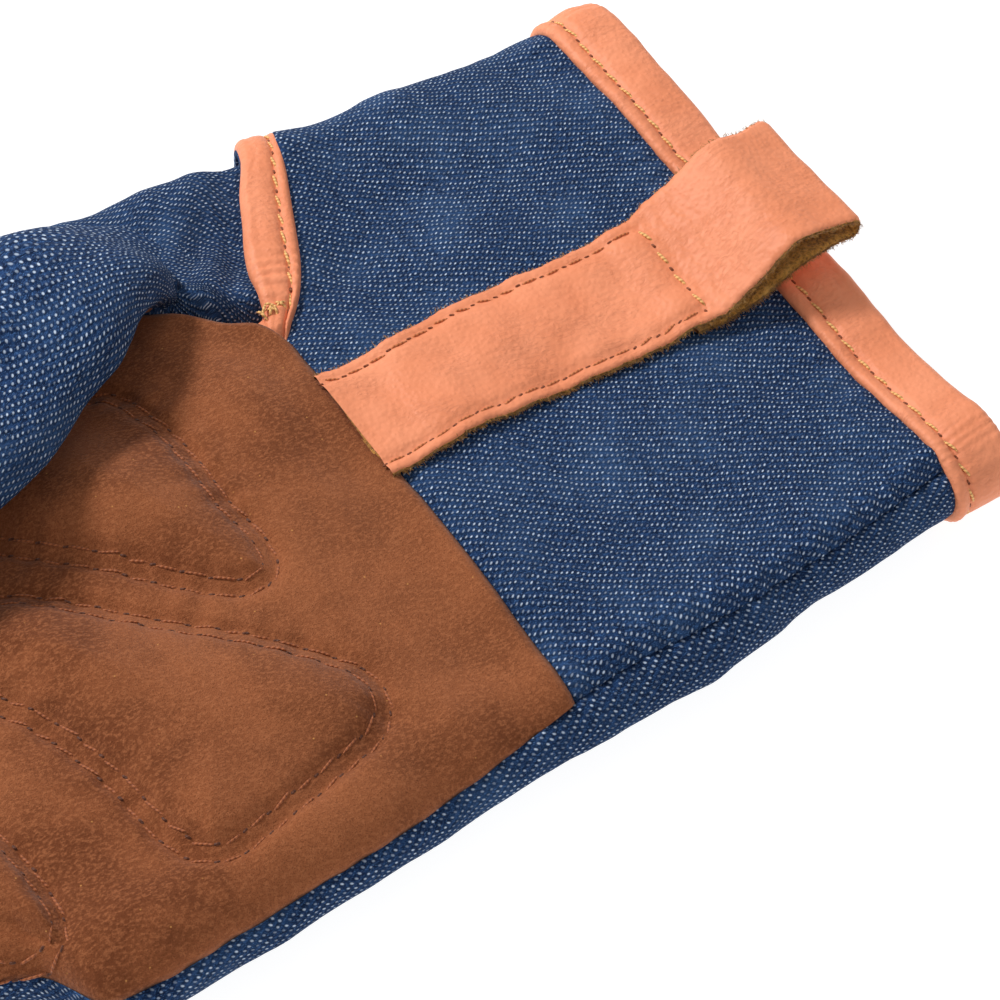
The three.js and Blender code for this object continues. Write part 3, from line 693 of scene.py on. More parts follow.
FINGER_LIST = [Finger(*row[1:]) for row in FINGERS[::-1]]
for number, finger in enumerate(FINGER_LIST):
    outer = PALM_SEAM / FINGER_HIGH
    finger.front_little = outer if number == 0 else 0.76
    finger.front_thumb = outer if number == 3 else 0.76
    finger.back_little = outer if number == 0 else 0.26
    finger.back_thumb = outer if number == 3 else 0.26


def finger_ends(a, panel):
    """The inner ends of the four fingers' panels at a, drawn together at their roots."""
    ends = [[getattr(finger, panel)(a, float(w))[0] for w in (0, 1)] for finger in FINGER_LIST]
    shifts = [[np.zeros_like(ends[0][0]), np.zeros_like(ends[0][0])] for _ in range(4)]
    close = (1 - smooth(a / 11))[..., None]
    for i in range(3):
        middle = (ends[i][1] + ends[i + 1][0]) / 2
        shifts[i][1] = (middle - ends[i][1]) * close
        shifts[i + 1][0] = (middle - ends[i + 1][0]) * close
    return shifts


def finger_panel(i, a, w, panel):
    """A finger's panel with its ends drawn to its neighbours at the root."""
    points = getattr(FINGER_LIST[i], panel)(a, w)[0]
    low, high = finger_ends(a, panel)[i]
    fall = lambda d: np.exp(-((d / 0.22) ** 2))[..., None]
    return points + low * fall(w) + high * fall(1 - w)


FINGER_COLUMNS = 38
HAND_COLUMNS = 4 * FINGER_COLUMNS + 1


def finger_roots(a, panel):
    """All four fingers' panels side by side at distances a, as one row each."""
    a = np.asarray(a, float)
    w = np.linspace(0, 1, FINGER_COLUMNS + 1)
    rows = [finger_panel(i, a[:, None], np.broadcast_to(w, (len(a), len(w))), panel) for i in range(4)]
    parts = [rows[0]]
    for row in rows[1:]:
        parts[-1][:, -1] = (parts[-1][:, -1] + row[:, 0]) / 2
        parts.append(row[:, 1:])
    return np.concatenate(parts, 1)


def blend_to_fingers(points, s, panel, length=24.0):
    """Rows of the hand that turn into the fingers' roots."""
    weight = smooth((s[:, 0] - ROOT + length) / length)[:, None, None]
    return mix(points, finger_roots(s[:, 0] - ROOT, panel), weight)


def finger_relief(i, a, k, w, edge, seed):
    """Seam rolls, gathers and soft creases of a finger's panel."""
    finger = FINGER_LIST[i]
    half, high, _ = finger.section(a)
    span = 2 * half + high * 0.4
    near = np.minimum(w, 1 - w) * span
    size = np.clip(high / FINGER_HIGH, 0, 1)
    gathers = puckers(a, near, seed + i, 4.4, 0.32, 3.0) * smooth(a / 6)
    creases = 0.0
    for place_of, depth in ((0.34, 0.5), (0.66, 0.4)):
        at = place_of * finger.length + 1.5 * np.sin(w * 5 + i)
        creases = creases - depth * np.exp(-(((a - at) / 1.9) ** 2)) * np.sin(np.clip(w, 0, 1) * math.pi)
    return (edge_roll(near, edge) + gathers + creases * (seed < 200)) * size * smooth(a / 3 + 0.35)


def finger_grid(i, panel, rows, edge, seed, wave):
    finger = FINGER_LIST[i]
    turn = np.linspace(0, 1, rows)
    a = np.concatenate([turn[:-1] ** 1.0 * finger.length * 0.8, []])
    tip = np.sin(np.linspace(0, math.pi / 2, 16)) * 0.2 * finger.length + 0.8 * finger.length
    a = np.concatenate([a[a < 0.795 * finger.length], tip])[:, None]
    w = np.linspace(0, 1, FINGER_COLUMNS + 1)[None, :]
    a, w = np.broadcast_arrays(a, w)
    points = finger_panel(i, a, w, panel)
    flip = panel == "back"
    relief = finger_relief(i, a, None, w, edge, seed)
    fullness = np.clip(finger.section(a)[1] / FINGER_HIGH, 0, 1)
    soft = cloth_waves(points, wave) * smooth(a / 4) * np.sqrt(fullness)
    if flip:
        soft = soft * smooth((points[..., 2] - 0.5) / 5)
    normal = grid_normals(points, False)
    outward = points - finger.point(a, np.full_like(a, 0.5)) - np.array([0, 0, -FINGER_HIGH / 2])
    sign = np.sign((normal * outward).sum(-1, keepdims=True))
    normal = normal * np.median(sign)
    fade = (1 - smooth((a - finger.length * 0.985) / (finger.length * 0.014)))[..., None]
    points = points + normal * (relief + soft)[..., None] * fade
    span = 2 * finger.half + FINGER_HIGH * 0.4
    runs = np.stack([(w - 0.5) * span + i * 37, a + ROOT], -1)
    return points, runs


def roots_match(grid, row):
    """A finger's first row takes the hand's last row, and the rows after it follow."""
    gap = row - grid[0]
    fall = np.exp(-((np.arange(len(grid)) / 6.0) ** 2))[:, None, None]
    return grid + gap[None] * fall


# The front of the cuff
def cuff_front_grid(rows=100, columns=176):
    u = np.linspace(0, 1, columns)[None, :]
    end = np.full((1, columns), CUFF)
    for _ in range(10):
        q = mix(little_seam_q(end), thumb_seam_q(end), u)
        end = slit_s(np.maximum(side_of(end, q), SLIT_APEX))
    s = mix(0.6, end, np.linspace(0, 1, rows)[:, None])
    low, high = little_seam_q(s), thumb_seam_q(s)
    q = mix(low, high, u)
    left, right = q - low, high - q
    ridge = 0.75 * np.exp(-(((left - 2.6) / 1.7) ** 2)) * (1 + 0.5 * np.sin(s * 1.35 + np.sin(s * 0.31) * 2))
    under_suede = -0.5 * smooth((s - CUFF + 3) / 3)
    relief = edge_roll(left, 0.35) + edge_roll(right) + ridge + puckers(s, left, 71) + puckers(s, right, 72)
    relief = relief + under_suede + 1.6 * smooth((side_of(s, q) - 44) / 10) * np.exp(-(((s - 62) / 12) ** 2))
    rim = puckers(q, s - BINDING, 73, 5.5, 0.22, 6)
    open_cloth = smooth((s - BINDING + 1.5) / 3) * smooth((slit_room(s, q) - 4.5) / 2)
    points = hand_skin(s, k_of(s, q), (relief + rim) * open_cloth - 0.25 * (1 - open_cloth))[0]
    return points, np.stack([q, s], -1)


def slit_room(s, q):
    """Distance to the slit's leather, large where there is none."""
    y = side_of(s, q)
    return np.where(y > SLIT_APEX - 2, np.abs(past_slit(s, y)), 50.0)


# The palm and the fronts of the fingers
def palm_grid(rows=156):
    u = np.linspace(0, 1, HAND_COLUMNS)[None, :]
    s = mix(CUFF, ROOT, np.linspace(0, 1, rows))[:, None] + 0 * u
    q = mix(little_seam_q(s), suede_end_q(s), u)
    points = hand_skin(s, k_of(s, q), palm_relief(s, q), base=hand_point, lip_share=0.1)[0]
    points = blend_to_fingers(points, s, "front")
    return points, np.stack([q, s], -1)


# The back of the glove, from the little side's seam under the hand to the thumb side's seam
def back_grid(rows=190):
    u = np.linspace(0, 1, HAND_COLUMNS)[None, :]
    s = mix(0.6, ROOT, np.linspace(0, 1, rows))[:, None] + 0 * u
    first, last, _ = sizes_at(s)
    start = little_seam_q(s)
    end = -2 * SIDE_ARC - (last - first) - (last - first - thumb_seam_q(s))
    q = mix(start, end, u)
    near_start, near_end = start - q, q - end
    gathers = puckers(s, near_start, 74, 7.0, 0.12) + puckers(s, near_end, 75)
    ease = smooth(near_start / 12)
    open_cloth = smooth((s - BINDING + 1.5) / 3)
    relief = edge_roll(near_start, 0.5) + edge_roll(near_end, 0.6) + gathers
    relief = relief * open_cloth - 0.25 * (1 - open_cloth)
    points, normals = hand_skin(s, k_of(s, q), relief)
    under = smooth((5 - points[..., 2]) / 4)
    hollows = np.clip(0.55 * MIDDLE(points * [1, 1, 0]) + 0.5 * BROAD(points * [1, 1, 0]), 0, None)
    points[..., 2] += hollows * under * ease
    points = blend_to_fingers(points, s, "back")
    past = past_slit(s, points[..., 1])
    slot = (past > 0.7) & (past < SLIT_GAP - 0.7) & (points[..., 1] > SLIT_BACK_APEX) & (s < CUFF)
    keep = ~(slot[:-1, :-1] | slot[1:, 1:])
    return points, np.stack([-q, s], -1), keep


def pocket(s, y):
    """The fold between the slit, the suede and the thumb, and the hollow in front of it."""
    crest = 28.0 + 0.55 * (s - 79)
    ahead = y - crest
    fold = 4.2 * np.where(ahead > 0, np.exp(-((ahead / 11) ** 2)), np.exp(-((ahead / 2.6) ** 2)))
    hollow = -8.0 * np.exp(-(((ahead + 5.2) / 3.0) ** 2))
    return (fold + hollow) * smooth((s - 70) / 8) * (1 - smooth((s - 89) / 9))


# The denim that wraps round the thumb side between the slit, the suede and the thumb
def wrap_grid(rows=110, columns=70):
    u = np.linspace(0, 1, columns)[None, :]
    t = np.linspace(0, 1, rows)[:, None]
    s = mix(CUFF, WRAP_END, t) + 0 * u
    for _ in range(12):
        q = mix(np.minimum(suede_edge_q(s), thumb_seam_q(s) - 1), thumb_seam_q(s), u)
        hidden = wrap_reach(s, q)
        start = slit_s(np.maximum(side_of(s, q), SLIT_APEX)) + hidden * SLIT_STRETCH
        s = mix(start, WRAP_END, t)
    low, high = np.minimum(suede_edge_q(s), thumb_seam_q(s) - 1), thumb_seam_q(s)
    q = mix(low, high, u)
    y = side_of(s, q)
    past = past_slit(s, y)
    left, right = q - low, high - q
    beside = -1.0 * (1 - smooth(left / 2.0)) - 1.2 * np.exp(-left / 5) * (1 - smooth((s - 100) / 10))
    ripple = 0.35 * np.sin(past / 1.35 + 0.25 * y) * np.exp(-((past - 7) / 7) ** 2)
    relief = pocket(s, y) + beside + ripple + edge_roll(right)
    relief = relief + 1.7 * smooth((y - 44) / 8) * smooth(past / 6) * (1 - smooth((s - 75) / 13))
    points = hand_skin(s, k_of(s, q), relief, is_wrap=True)[0]
    across = arc_lengths(points[:, ::-1], 1)[:, ::-1]
    along = arc_lengths(points, 0)
    return points, np.stack([-across, along + 79.0], -1)


def wrap_reach(s, q):
    """Start of the wrapped cloth past the slit's line: under the lip in front, at the gap behind."""
    first, last, _ = sizes_at(s)
    return mix(-0.6, SLIT_GAP - 0.6, smooth((q - (last - first) - 11) / 8))


WRAP_END = s_of(1.735)


# A gusset between two fingers: down one finger's side, round the crotch and up the next
def gusset_grid(i, columns=9):
    low_finger, high_finger = FINGER_LIST[i], FINGER_LIST[i + 1]
    rows = []
    runs = []
    v = np.linspace(0, 1, columns)
    for number, finger, is_thumb, w in ((i, low_finger, True, 1.0), (i + 1, high_finger, False, 0.0)):
        tip = 0.93 * finger.length
        a = np.concatenate([np.linspace(0, tip - 4, 78), np.linspace(tip - 4, tip, 8)[1:]])[:, None]
        front = finger_panel(number, a, np.full_like(a, w), "front")
        back = finger_panel(number, a, np.full_like(a, w), "back")
        share_front = finger.front_thumb if is_thumb else finger.front_little
        share_back = finger.back_thumb if is_thumb else finger.back_little
        k0 = finger.seam(a, share_front, is_thumb)
        k1 = finger.seam(a, share_back, is_thumb)
        middle = finger.point(a, mix(k0, k1, v[None, :]))
        straight0 = finger.point(a, k0)
        straight1 = finger.point(a, k1)
        pull = mix(front - straight0, back - straight1, v[None, :, None])
        points = middle + pull
        outward = -np.array([finger.along[1], -finger.along[0], 0]) * (1 if is_thumb else -1)
        gap = np.minimum(v, 1 - v)[None, :] * np.linalg.norm(straight0 - straight1, axis=-1)
        roll = edge_roll(gap, 0.7, 0.8) * np.ones_like(a) + puckers(a, gap, 81 + i, 4.4, 0.16, 3)
        fade = smooth((tip - a) / 3) * smooth(a / 3 + 0.3)
        points = points + outward * (roll * fade)[..., None]
        run = np.stack([v[None, :] * 8 + 0 * a + number * 13, a + ROOT + 0 * v], -1)
        rows.append(points)
        runs.append(run)
    points = np.concatenate([rows[0][::-1], rows[1][1:]])
    joined = np.concatenate([runs[0][::-1], runs[1][1:]])
    return points, joined


# The thumb, which lies over the palm
THUMB_TURN_LOW = -0.62
THUMB_TURN_HIGH = math.pi + 0.12


def thumb_point(ahead, turn, grow=0.0):
    ahead, turn = np.broadcast_arrays(np.asarray(ahead, float), np.asarray(turn, float))
    step = 0.012

    def middle(t):
        s, y, z, _, _ = thumb_middle(np.clip(t, 0, 1))
        over = np.maximum(0, t - 1) + np.minimum(0, t)
        return np.stack([-s - over * THUMB_REACH * 0.95, y - over * 20, z], -1)

    along = unit(middle(ahead + step) - middle(ahead - step))
    level = unit(np.cross(np.broadcast_to([0.0, 0, 1], along.shape), along))
    up = np.cross(along, level)
    roll = thumb_roll(ahead)[..., None]
    across = level * np.cos(roll) + up * np.sin(roll)
    up = np.cross(along, across)
    _, _, _, half, high = thumb_middle(np.clip(ahead, 0, 1))
    near = np.clip((ahead - 0.82) / 0.18, 0, 1)
    close = np.sqrt(1 - near**2.4 + 1e-9)
    _, _, _, half_near, high_near = thumb_middle(np.minimum(np.clip(ahead, 0, 1), 0.82))
    half = half_near * close * 0.995 + grow
    high = high_near * close + grow
    cos, sin = np.cos(turn), np.sin(turn)
    flatter = np.sign(cos) * np.abs(cos) ** 0.85
    thick = np.sign(sin) * np.abs(sin) ** 0.95 * np.where(sin < 0, mix(1.0, 0.6, smooth(ahead / 0.3)), 1.0)
    return middle(ahead) + across * (half * flatter)[..., None] + up * (high * thick)[..., None]


def thumb_grid(first, last, columns, edge=0.7, seed=91, rows=104):
    straight = np.linspace(-0.03, 0.8, rows - 18)
    tip = 0.82 + 0.18 * np.sin(np.linspace(0, math.pi / 2, 18))
    ahead = np.concatenate([straight, tip])[:, None]
    turn = np.linspace(first, last, columns)[None, :]
    points = thumb_point(ahead, turn)
    outer = thumb_point(ahead, turn, 0.5)
    normal = unit(outer - points)
    _, _, _, half, high = thumb_middle(np.clip(ahead, 0, 1))
    span = (last - first) * (half + high) / 2
    near = np.minimum(turn - first, last - turn) / (last - first) * span
    run = (turn - first) / (last - first) * 44
    s = THUMB_START + ahead * THUMB_REACH
    relief = edge_roll(near, edge) + puckers(s, near, seed, 4.6, 0.3, 3.2)
    waves = cloth_waves(points, 0.75) * smooth(near / 3)
    crest = 0.0
    if last > 3:
        line = 1.95 - 0.9 * ahead
        crest = 0.9 * np.exp(-(((turn - line) / 0.28) ** 2)) * smooth((0.9 - ahead) / 0.3)
        crest = crest + 0.5 * np.exp(-(((turn - first - 0.45) / 0.2) ** 2))
        crest = crest - 0.5 * np.exp(-(((turn - 1.1) / 0.22) ** 2)) * smooth((0.75 - ahead) / 0.3)
    fade = 1 - smooth((ahead - 0.985) / 0.014)
    points = points + normal * ((relief + waves + crest) * fade)[..., None]
    return points, np.stack([run + 0 * s, s + 0 * turn], -1)


# Leather bindings, as profiles of distance from the edge and height over the cloth
def arc(centre, radius, first, last, steps):
    turn = np.radians(np.linspace(first, last, steps))
    return [(centre[0] + radius * math.cos(a), centre[1] + radius * math.sin(a)) for a in turn]


def binding_profile(width, stitch):
    """From the rolled inner edge over the edge's fold to the inside; the edge is at 0, the cloth past it."""
    roll = arc((width - 0.95, 0.15), 1.05, -40, 100, 9)
    groove = [
        (stitch + 0.55, 1.05), (stitch + 0.3, 0.78), (stitch, 0.62), (stitch - 0.3, 0.8), (stitch - 0.65, 1.08),
    ]
    flat = [(mix(stitch - 1.2, 1.2, t), 1.25 + 0.14 * math.sin(math.pi * t)) for t in np.linspace(0, 1, 9)]
    fold = arc((0.4, -0.58), 1.86, 78, 268, 13)
    inside = [
        (2.0, -2.44), (4.0, -2.42), (6.0, -2.36), (width - 1.9, -2.2), (width - 1.5, -1.8), (width - 1.4, -1.1),
    ]
    return np.array(roll + groove + flat + fold + inside)


def profile_runs(profile):
    return np.concatenate([[0], np.cumsum(np.linalg.norm(np.diff(profile, axis=0), axis=1))])


RIM_STITCH = BINDING - 2.5


def rim_points(distance, height, q):
    """Points on the rim's leather at a distance from the rim, a height over the cloth and a run of q."""
    first, last, _ = sizes_at(0.0 * distance)
    k = q / 4.0
    s = distance + 0 * k
    near = np.maximum(s, 0.0)
    points, normals = hand_skin(near, k, 0.0)
    points[..., 0] -= s - near
    on_flat = np.clip(np.abs(normals[..., 2]) * 1.6 - 0.6, 0, 1)
    wave = 0.07 * np.sin(k * 95 + 2.2 * np.sin(k * 21)) * smooth(np.asarray(height) + 0.5) * on_flat
    return points + normals * (height + wave)[..., None]


def rim_grid(columns=400):
    profile = binding_profile(BINDING, RIM_STITCH)
    k = np.linspace(0, 4, columns, endpoint=False)[None, :]
    distance = profile[:, 0][:, None] + 0 * k
    height = profile[:, 1][:, None] + 0 * k
    points = rim_points(distance, height, k * 4)
    length = arc_lengths(points[len(profile) // 3][None], 1)[0]
    runs = np.stack([length[None, :] + 0 * height, profile_runs(profile)[:, None] + 0 * height], -1)
    return points, runs


def slit_place(p, q):
    """Distance from the rim of the place p past the slit's line at a run of q."""
    s = slit_s(45.0) + 0 * (p + q)
    for _ in range(9):
        s = slit_s(side_of(s, q)) + p * SLIT_STRETCH
    return s


def slit_points(p, height, q, is_hand_side):
    p, height, q = np.broadcast_arrays(p, height, q)
    s = slit_place(p, q)
    p_cloth = np.maximum(p, 0.0) if is_hand_side else np.minimum(p, 0.0)
    k = k_of(s, q)
    points, normals = surface(hand_cloth, s, k)
    under = smooth((6 - points[..., 2]) / 4)
    y = points[..., 1]
    lift = lips(p_cloth, y, normals, is_hand_side)
    if is_hand_side:
        lift = lift + pocket(s, y) * smooth((y - SLIT_APEX) / 8) * (1 - smooth((y - 30) / 8))
    rise = cloth_waves(points) * (1 - under) + lift * (1 - 0.85 * under)
    return points + normals * (rise + height)[..., None], normals


SLIT_FOOT = 16.5


def slit_ends():
    """Runs of q from the slit's apex on the front to its apex on the back."""
    s = slit_s(SLIT_APEX)
    first, last, _ = sizes_at(s)
    start = SLIT_FOOT - first
    s_end = slit_s(SLIT_BACK_APEX)
    first, last, _ = sizes_at(s_end)
    return start, (last - first) + SIDE_ARC + (last - SLIT_BACK_APEX) + 1.5


def slit_grid(is_hand_side, columns=170):
    width = SLIT_HAND_WIDTH if is_hand_side else SLIT_BINDING
    stitch = width - (1.6 if is_hand_side else 2.3)
    profile = binding_profile(width, stitch)
    q = np.linspace(*slit_ends(), columns)[None, :]
    ends, near, far = slit_shape(q, is_hand_side)
    reach = profile[:, 0][:, None]
    share = np.where(reach > 0, reach / width, reach)
    away = 1 if is_hand_side else -1
    p = near + (far - near) * np.where(reach > 0, share, 0) + np.where(reach > 0, 0, reach) * away
    height = profile[:, 1][:, None] * (0.75 if is_hand_side else 1.0) + 0 * q
    folds = 0.22 * np.sin(q * 2.9 + 1.4 * np.sin(q * 0.7) + 0.7 * reach) * np.exp(-(((ends - 9) / 6) ** 2))
    height = height + folds * (profile[:, 1][:, None] > 0.2) - 1.6 * (1 - smooth(ends / 2.5))
    if is_hand_side:
        height = height - 1.3 * smooth((reach - 0.5) / 1.5) * (1 - smooth((ends - 6) / 3))
    points, normals = slit_points(p, height, q, is_hand_side)
    run = np.stack([q + 0 * height, profile_runs(profile)[:, None] + 0 * height], -1)
    return points, run


SLIT_HAND_WIDTH = 2.6


def slit_shape(q, is_hand_side):
    """Distance from the slit's ends, and the places past its line of the leather's near and far edge."""
    start, end = slit_ends()
    ends = np.minimum(q - start, end - q)
    y = q - start + SLIT_FOOT
    round_side = smooth((y - 62) / 8)
    if is_hand_side:
        near = curve([16.5, 20, 23, 25.6, 30], [-0.8, -0.5, -0.8, -2.4, -2.6], y)
        total = curve([16.5, 20, 23, 25.6, 30], [2.4, 4.6, 4.8, 2.7, 2.4], y)
        near_back, far_back = SLIT_GAP - 1.1, SLIT_GAP - 1.1 + SLIT_HAND_WIDTH
        return ends, mix(near, near_back, round_side), mix(near + total, far_back, round_side)
    places = [16.5, 19.4, 22.8, 24.8, 27.3, 31, 35, 40, 47, 53]
    near = curve(places, [-0.2, -0.6, -1.2, -1, -0.7, 0, 0.15, -0.2, -0.5, -1.5], y)
    far = curve([16.5, 19.4, 22.8, 24.8, 27.3, 31, 50], [-2.6, -3.6, -5.1, -5.7, -6.1, -6.4, -6.5], y)
    tail = smooth((end - q) / 14)
    wide = -1.0 * tail - SLIT_BINDING * mix(0.5, 1.0, tail)
    return ends, mix(near, -1.0 * tail, round_side), mix(far, wide, round_side)


def slit_stitch_line(is_hand_side):
    start, end = slit_ends()
    q = np.linspace(start + 4.5, end - 0.5, 400)
    _, near, far = slit_shape(q, is_hand_side)
    return q, mix(near, far, (SLIT_BINDING - 2.3) / SLIT_BINDING)


# The strap: from under the suede over its sewn part to the loop at the rim and back to its tail
STRAP_HALF = LEATHER / 2
LOOP_RADIUS = 1.45
LOOP_HIGH = 7.8
LOOP_TURN = -2.1


def strap_path():
    sewn = [(s, 0.95 + 1.35 * smooth((31 - s) / 6)) for s in np.linspace(CUFF + 1.5, STRAP_STITCH + 0.8, 84)]
    s_top = np.linspace(STRAP_STITCH + 0.2, LOOP_TURN, 34)
    top = LOOP_HIGH + LOOP_RADIUS
    level = [top + 0.13 * (min(s, 9.0) - LOOP_TURN) for s in s_top]
    rise = [(s, mix(2.3, z, float(smooth((STRAP_STITCH + 0.8 - s) / 17)))) for s, z in zip(s_top, level)]
    fold = [(LOOP_TURN - LOOP_RADIUS * math.sin(a), LOOP_HIGH + LOOP_RADIUS * math.cos(a)) for a in
            np.linspace(0, math.pi, 14)[1:]]
    low = LOOP_HIGH - LOOP_RADIUS
    s_low = np.linspace(LOOP_TURN + 0.6, 25.5, 36)
    back = [(s, mix(0.95, low, float(smooth((STRAP_STITCH - s) / (STRAP_STITCH + 1.0))))) for s in s_low]
    return np.array(sewn + rise + fold + back)


def strap_base(s, y):
    """Height of the cuff under the strap: it follows the cloth where it is sewn and evens out at the loop."""
    near = np.maximum(s, 1.0)
    first, last, _ = sizes_at(near)
    skin = hand_skin(near, (y - first) / (last - first))[0][..., 2]
    even = skin.mean(axis=-1, keepdims=True) + 0.012 * (y - STRAP_MIDDLE)
    return mix(skin, even, np.clip(1 - s / STRAP_STITCH, 0, 1) ** 0.7)


def strap_middle(s):
    return -1.6 - 3.8 * smooth((s - 45) / 40)


def strap_edges(run, path_s):
    """Places of the strap's two edges along it."""
    loose = smooth((STRAP_STITCH + 1.5 - path_s) / 3)
    frays = 0.1 * np.sin(run * 1.1 + 1.3 * np.sin(run * 0.43)) + 0.06 * np.sin(run * 3.3 + 2)
    half = 11.5 - 0.7 * smooth((path_s - 50) / 25)
    low = strap_middle(path_s) - half - 0.2 * loose + frays
    high = strap_middle(path_s) + half + loose + 1.2 * smooth((3 - path_s) / 6) + frays[::-1]
    return low, high


def strap_grid():
    path = strap_path()
    tangent = unit(np.gradient(path, axis=0))
    out = np.stack([tangent[:, 1], -tangent[:, 0]], -1)
    run = profile_runs(path)
    low, high = strap_edges(run, path[:, 0])
    top = np.linspace(0, 1, 31)
    side = np.linspace(0, 1, 4)[1:-1]
    across = np.concatenate([top, np.ones(2), top[::-1], np.zeros(2)])
    level = np.concatenate([np.ones(31), 1 - 2 * side, -np.ones(31), -1 + 2 * side])
    slots = np.concatenate([np.zeros(30), np.ones(3), np.full(30, 2), np.ones(3)]).astype(int)
    y = mix(low[:, None], high[:, None], across[None, :])
    s = path[:, 0][:, None] + 0 * y
    edge = np.minimum(y - low[:, None], high[:, None] - y)
    is_sewn = smooth((path[:, 0][:, None] - STRAP_STITCH) / 0.8) * (run < 70)[:, None]
    sunk = -0.42 * np.exp(-(((edge - 2.0) / 0.55) ** 2)) * is_sewn
    crossing = -0.42 * np.exp(-(((s - STRAP_STITCH - 0.8) / 0.55) ** 2)) * (run < 70)[:, None] * (edge > 1.6)
    rounded_edge = -0.32 * np.exp(-((edge / 0.35) ** 2))
    pillow = 0.22 * smooth((edge - 2.2) / 2) * is_sewn
    soft = 0.16 * MIDDLE(np.stack([s, y, s * 0], -1)) + 0.07 * SMALL(np.stack([s, y, s * 0], -1))
    crumple = 0.2 * np.sin(s * 2.3 + 0.9 * np.sin(y * 0.8)) * np.exp(-(((s - 18) / 4) ** 2))
    crumple = crumple * (run < 82)[:, None]
    is_top = (level > 0)[None, :]
    face = (sunk + crossing + rounded_edge) * is_top + rounded_edge * -1.0 * ~is_top
    lifted = pillow + soft + crumple
    sag = 0.5 * np.sin(np.clip(across, 0, 1) * math.pi)[None, :] * smooth((14 - s) / 10) * -1.0
    half = STRAP_HALF * level[None, :]
    offset = half + face
    new_s = s + out[:, 0][:, None] * offset
    height = path[:, 1][:, None] + out[:, 1][:, None] * offset + lifted * 1.0
    z = strap_base(s, y) + height + sag * (run[:, None] < 88)
    points = place(new_s, y, z)
    width = y - STRAP_MIDDLE
    runs = np.stack([width + 40 * (level[None, :] < 0), run[:, None] + 0 * width], -1)
    return points, runs, slots, path, run, low, high


# Stitches and fibres, many in one mesh
def stitch_row(piece, points, normals, pitch, length, radius, lift, tilt, seed, slot=0, phase=0.5, sink=0.2):
    rng = np.random.default_rng(seed)
    run = profile_runs(points)
    count = max(1, int(run[-1] / pitch))
    at = (np.arange(count) + phase) * run[-1] / count + rng.normal(0, 0.05, count)
    get = lambda values: np.stack([np.interp(at, run, values[:, i]) for i in range(3)], -1)
    centre, normal = get(points), unit(get(normals))
    along = unit(get(np.gradient(points, axis=0)))
    side = unit(np.cross(normal, along))
    turn = np.radians(tilt + rng.normal(0, 4, count))[:, None]
    along = along * np.cos(turn) + side * np.sin(turn)
    side = unit(np.cross(normal, along))
    rings, sides = 8, 7
    u = np.linspace(-1, 1, rings)[None, :, None]
    angle = np.linspace(0, 2 * math.pi, sides, endpoint=False)[None, None, :]
    long = (length / 2 * rng.uniform(0.92, 1.06, (count, 1, 1)))
    thick = radius * rng.uniform(0.9, 1.1, (count, 1, 1)) * np.sqrt(1 - (0.97 * u) ** 4)
    c, n, a, b = (v[:, None, None, :] for v in (centre, normal, along, side))
    middle = (lift * (1 - u**2) - sink * u**4)[..., None]
    ring = c + a * (long * u)[..., None] + n * middle
    mesh = ring + n * (thick * np.sin(angle))[..., None] + b * (thick * np.cos(angle) * 1.1)[..., None]
    start = np.arange(count)[:, None, None] * rings * sides
    r = np.arange(rings - 1)[None, :, None] * sides
    t = np.arange(sides)[None, None, :]
    next_t = (t + 1) % sides
    quads = np.stack([start + r + t, start + r + next_t, start + r + sides + next_t, start + r + sides + t], -1)
    runs = np.stack(np.broadcast_arrays(angle * radius, u * length / 2 + at[:, None, None]), -1)
    piece.add(mesh.reshape(-1, 3), quads.reshape(-1, 4) + piece.count, runs.reshape(-1, 2), slot)


def sewn_row(piece, points, normals, length, radius, lift, tilt, seed, slot=0, hole_shade_slot=2):
    """A row of stitches, with short dark pieces between them at each needle hole as painted shade of the hole.
    """
    stitch_row(piece, points, normals, PITCH, length, radius, lift, tilt, seed, slot)
    # Short dark pieces at each needle hole between the stitches: painted shade.
    stitch_row(piece, points, normals, PITCH, 0.9, radius * 1.1, -0.06, tilt, seed, hole_shade_slot, 0.0, 0.05)


PITCH = 4.1


def fibres(piece, points, directions, length, radius, seed, slot=0):
    """Fine fibres that stand from points along directions, each bent once."""
    rng = np.random.default_rng(seed)
    count = len(points)
    lean = unit(directions + rng.normal(0, 0.5, (count, 3)))
    side = unit(np.cross(lean, rng.normal(size=(count, 3))))
    other = np.cross(lean, side)
    reach = length * rng.uniform(0.4, 1.3, (count, 1))
    bend = rng.normal(0, 0.3, (count, 3)) * reach
    rings = []
    for t, thick in ((-0.2, 1.0), (0.5, 0.8), (1.0, 0.25)):
        middle = points + lean * reach * t + bend * t * t
        for a in (0, 2.09, 4.19):
            rings.append(middle + (side * math.cos(a) + other * math.sin(a)) * radius * thick)
    mesh = np.stack(rings, 1).reshape(-1, 3)
    start = np.arange(count)[:, None] * 9
    quads = []
    for r in (0, 3):
        for t in range(3):
            n = (t + 1) % 3
            quads.append(start + np.array([[r + t, r + n, r + 3 + n, r + 3 + t]]))
    quads = np.stack(quads, 1).reshape(-1, 4)
    piece.add(mesh, quads + piece.count, np.zeros((len(mesh), 2)), slot)


def drop(tree, plan):
    """Points and normals where upright rays at plan places (x, y) meet a surface."""
    points, normals = [], []
    for x, y in plan:
        place_hit, normal, _, _ = tree.ray_cast(Vector((x, y, 90)), Vector((0, 0, -1)))
        if place_hit is not None:
            points.append(place_hit)
            normals.append(normal if normal.z > 0 else -normal)
    return np.array(points), np.array(normals)


# Materials
def colour(r, g, b):
    """Linear colour of an sRGB colour given from 0 to 255."""
    lin = [c / 12.92 if c <= 0.04045 else ((c + 0.055) / 1.055) ** 2.4 for c in (r / 255, g / 255, b / 255)]
    return (*lin, 1.0)


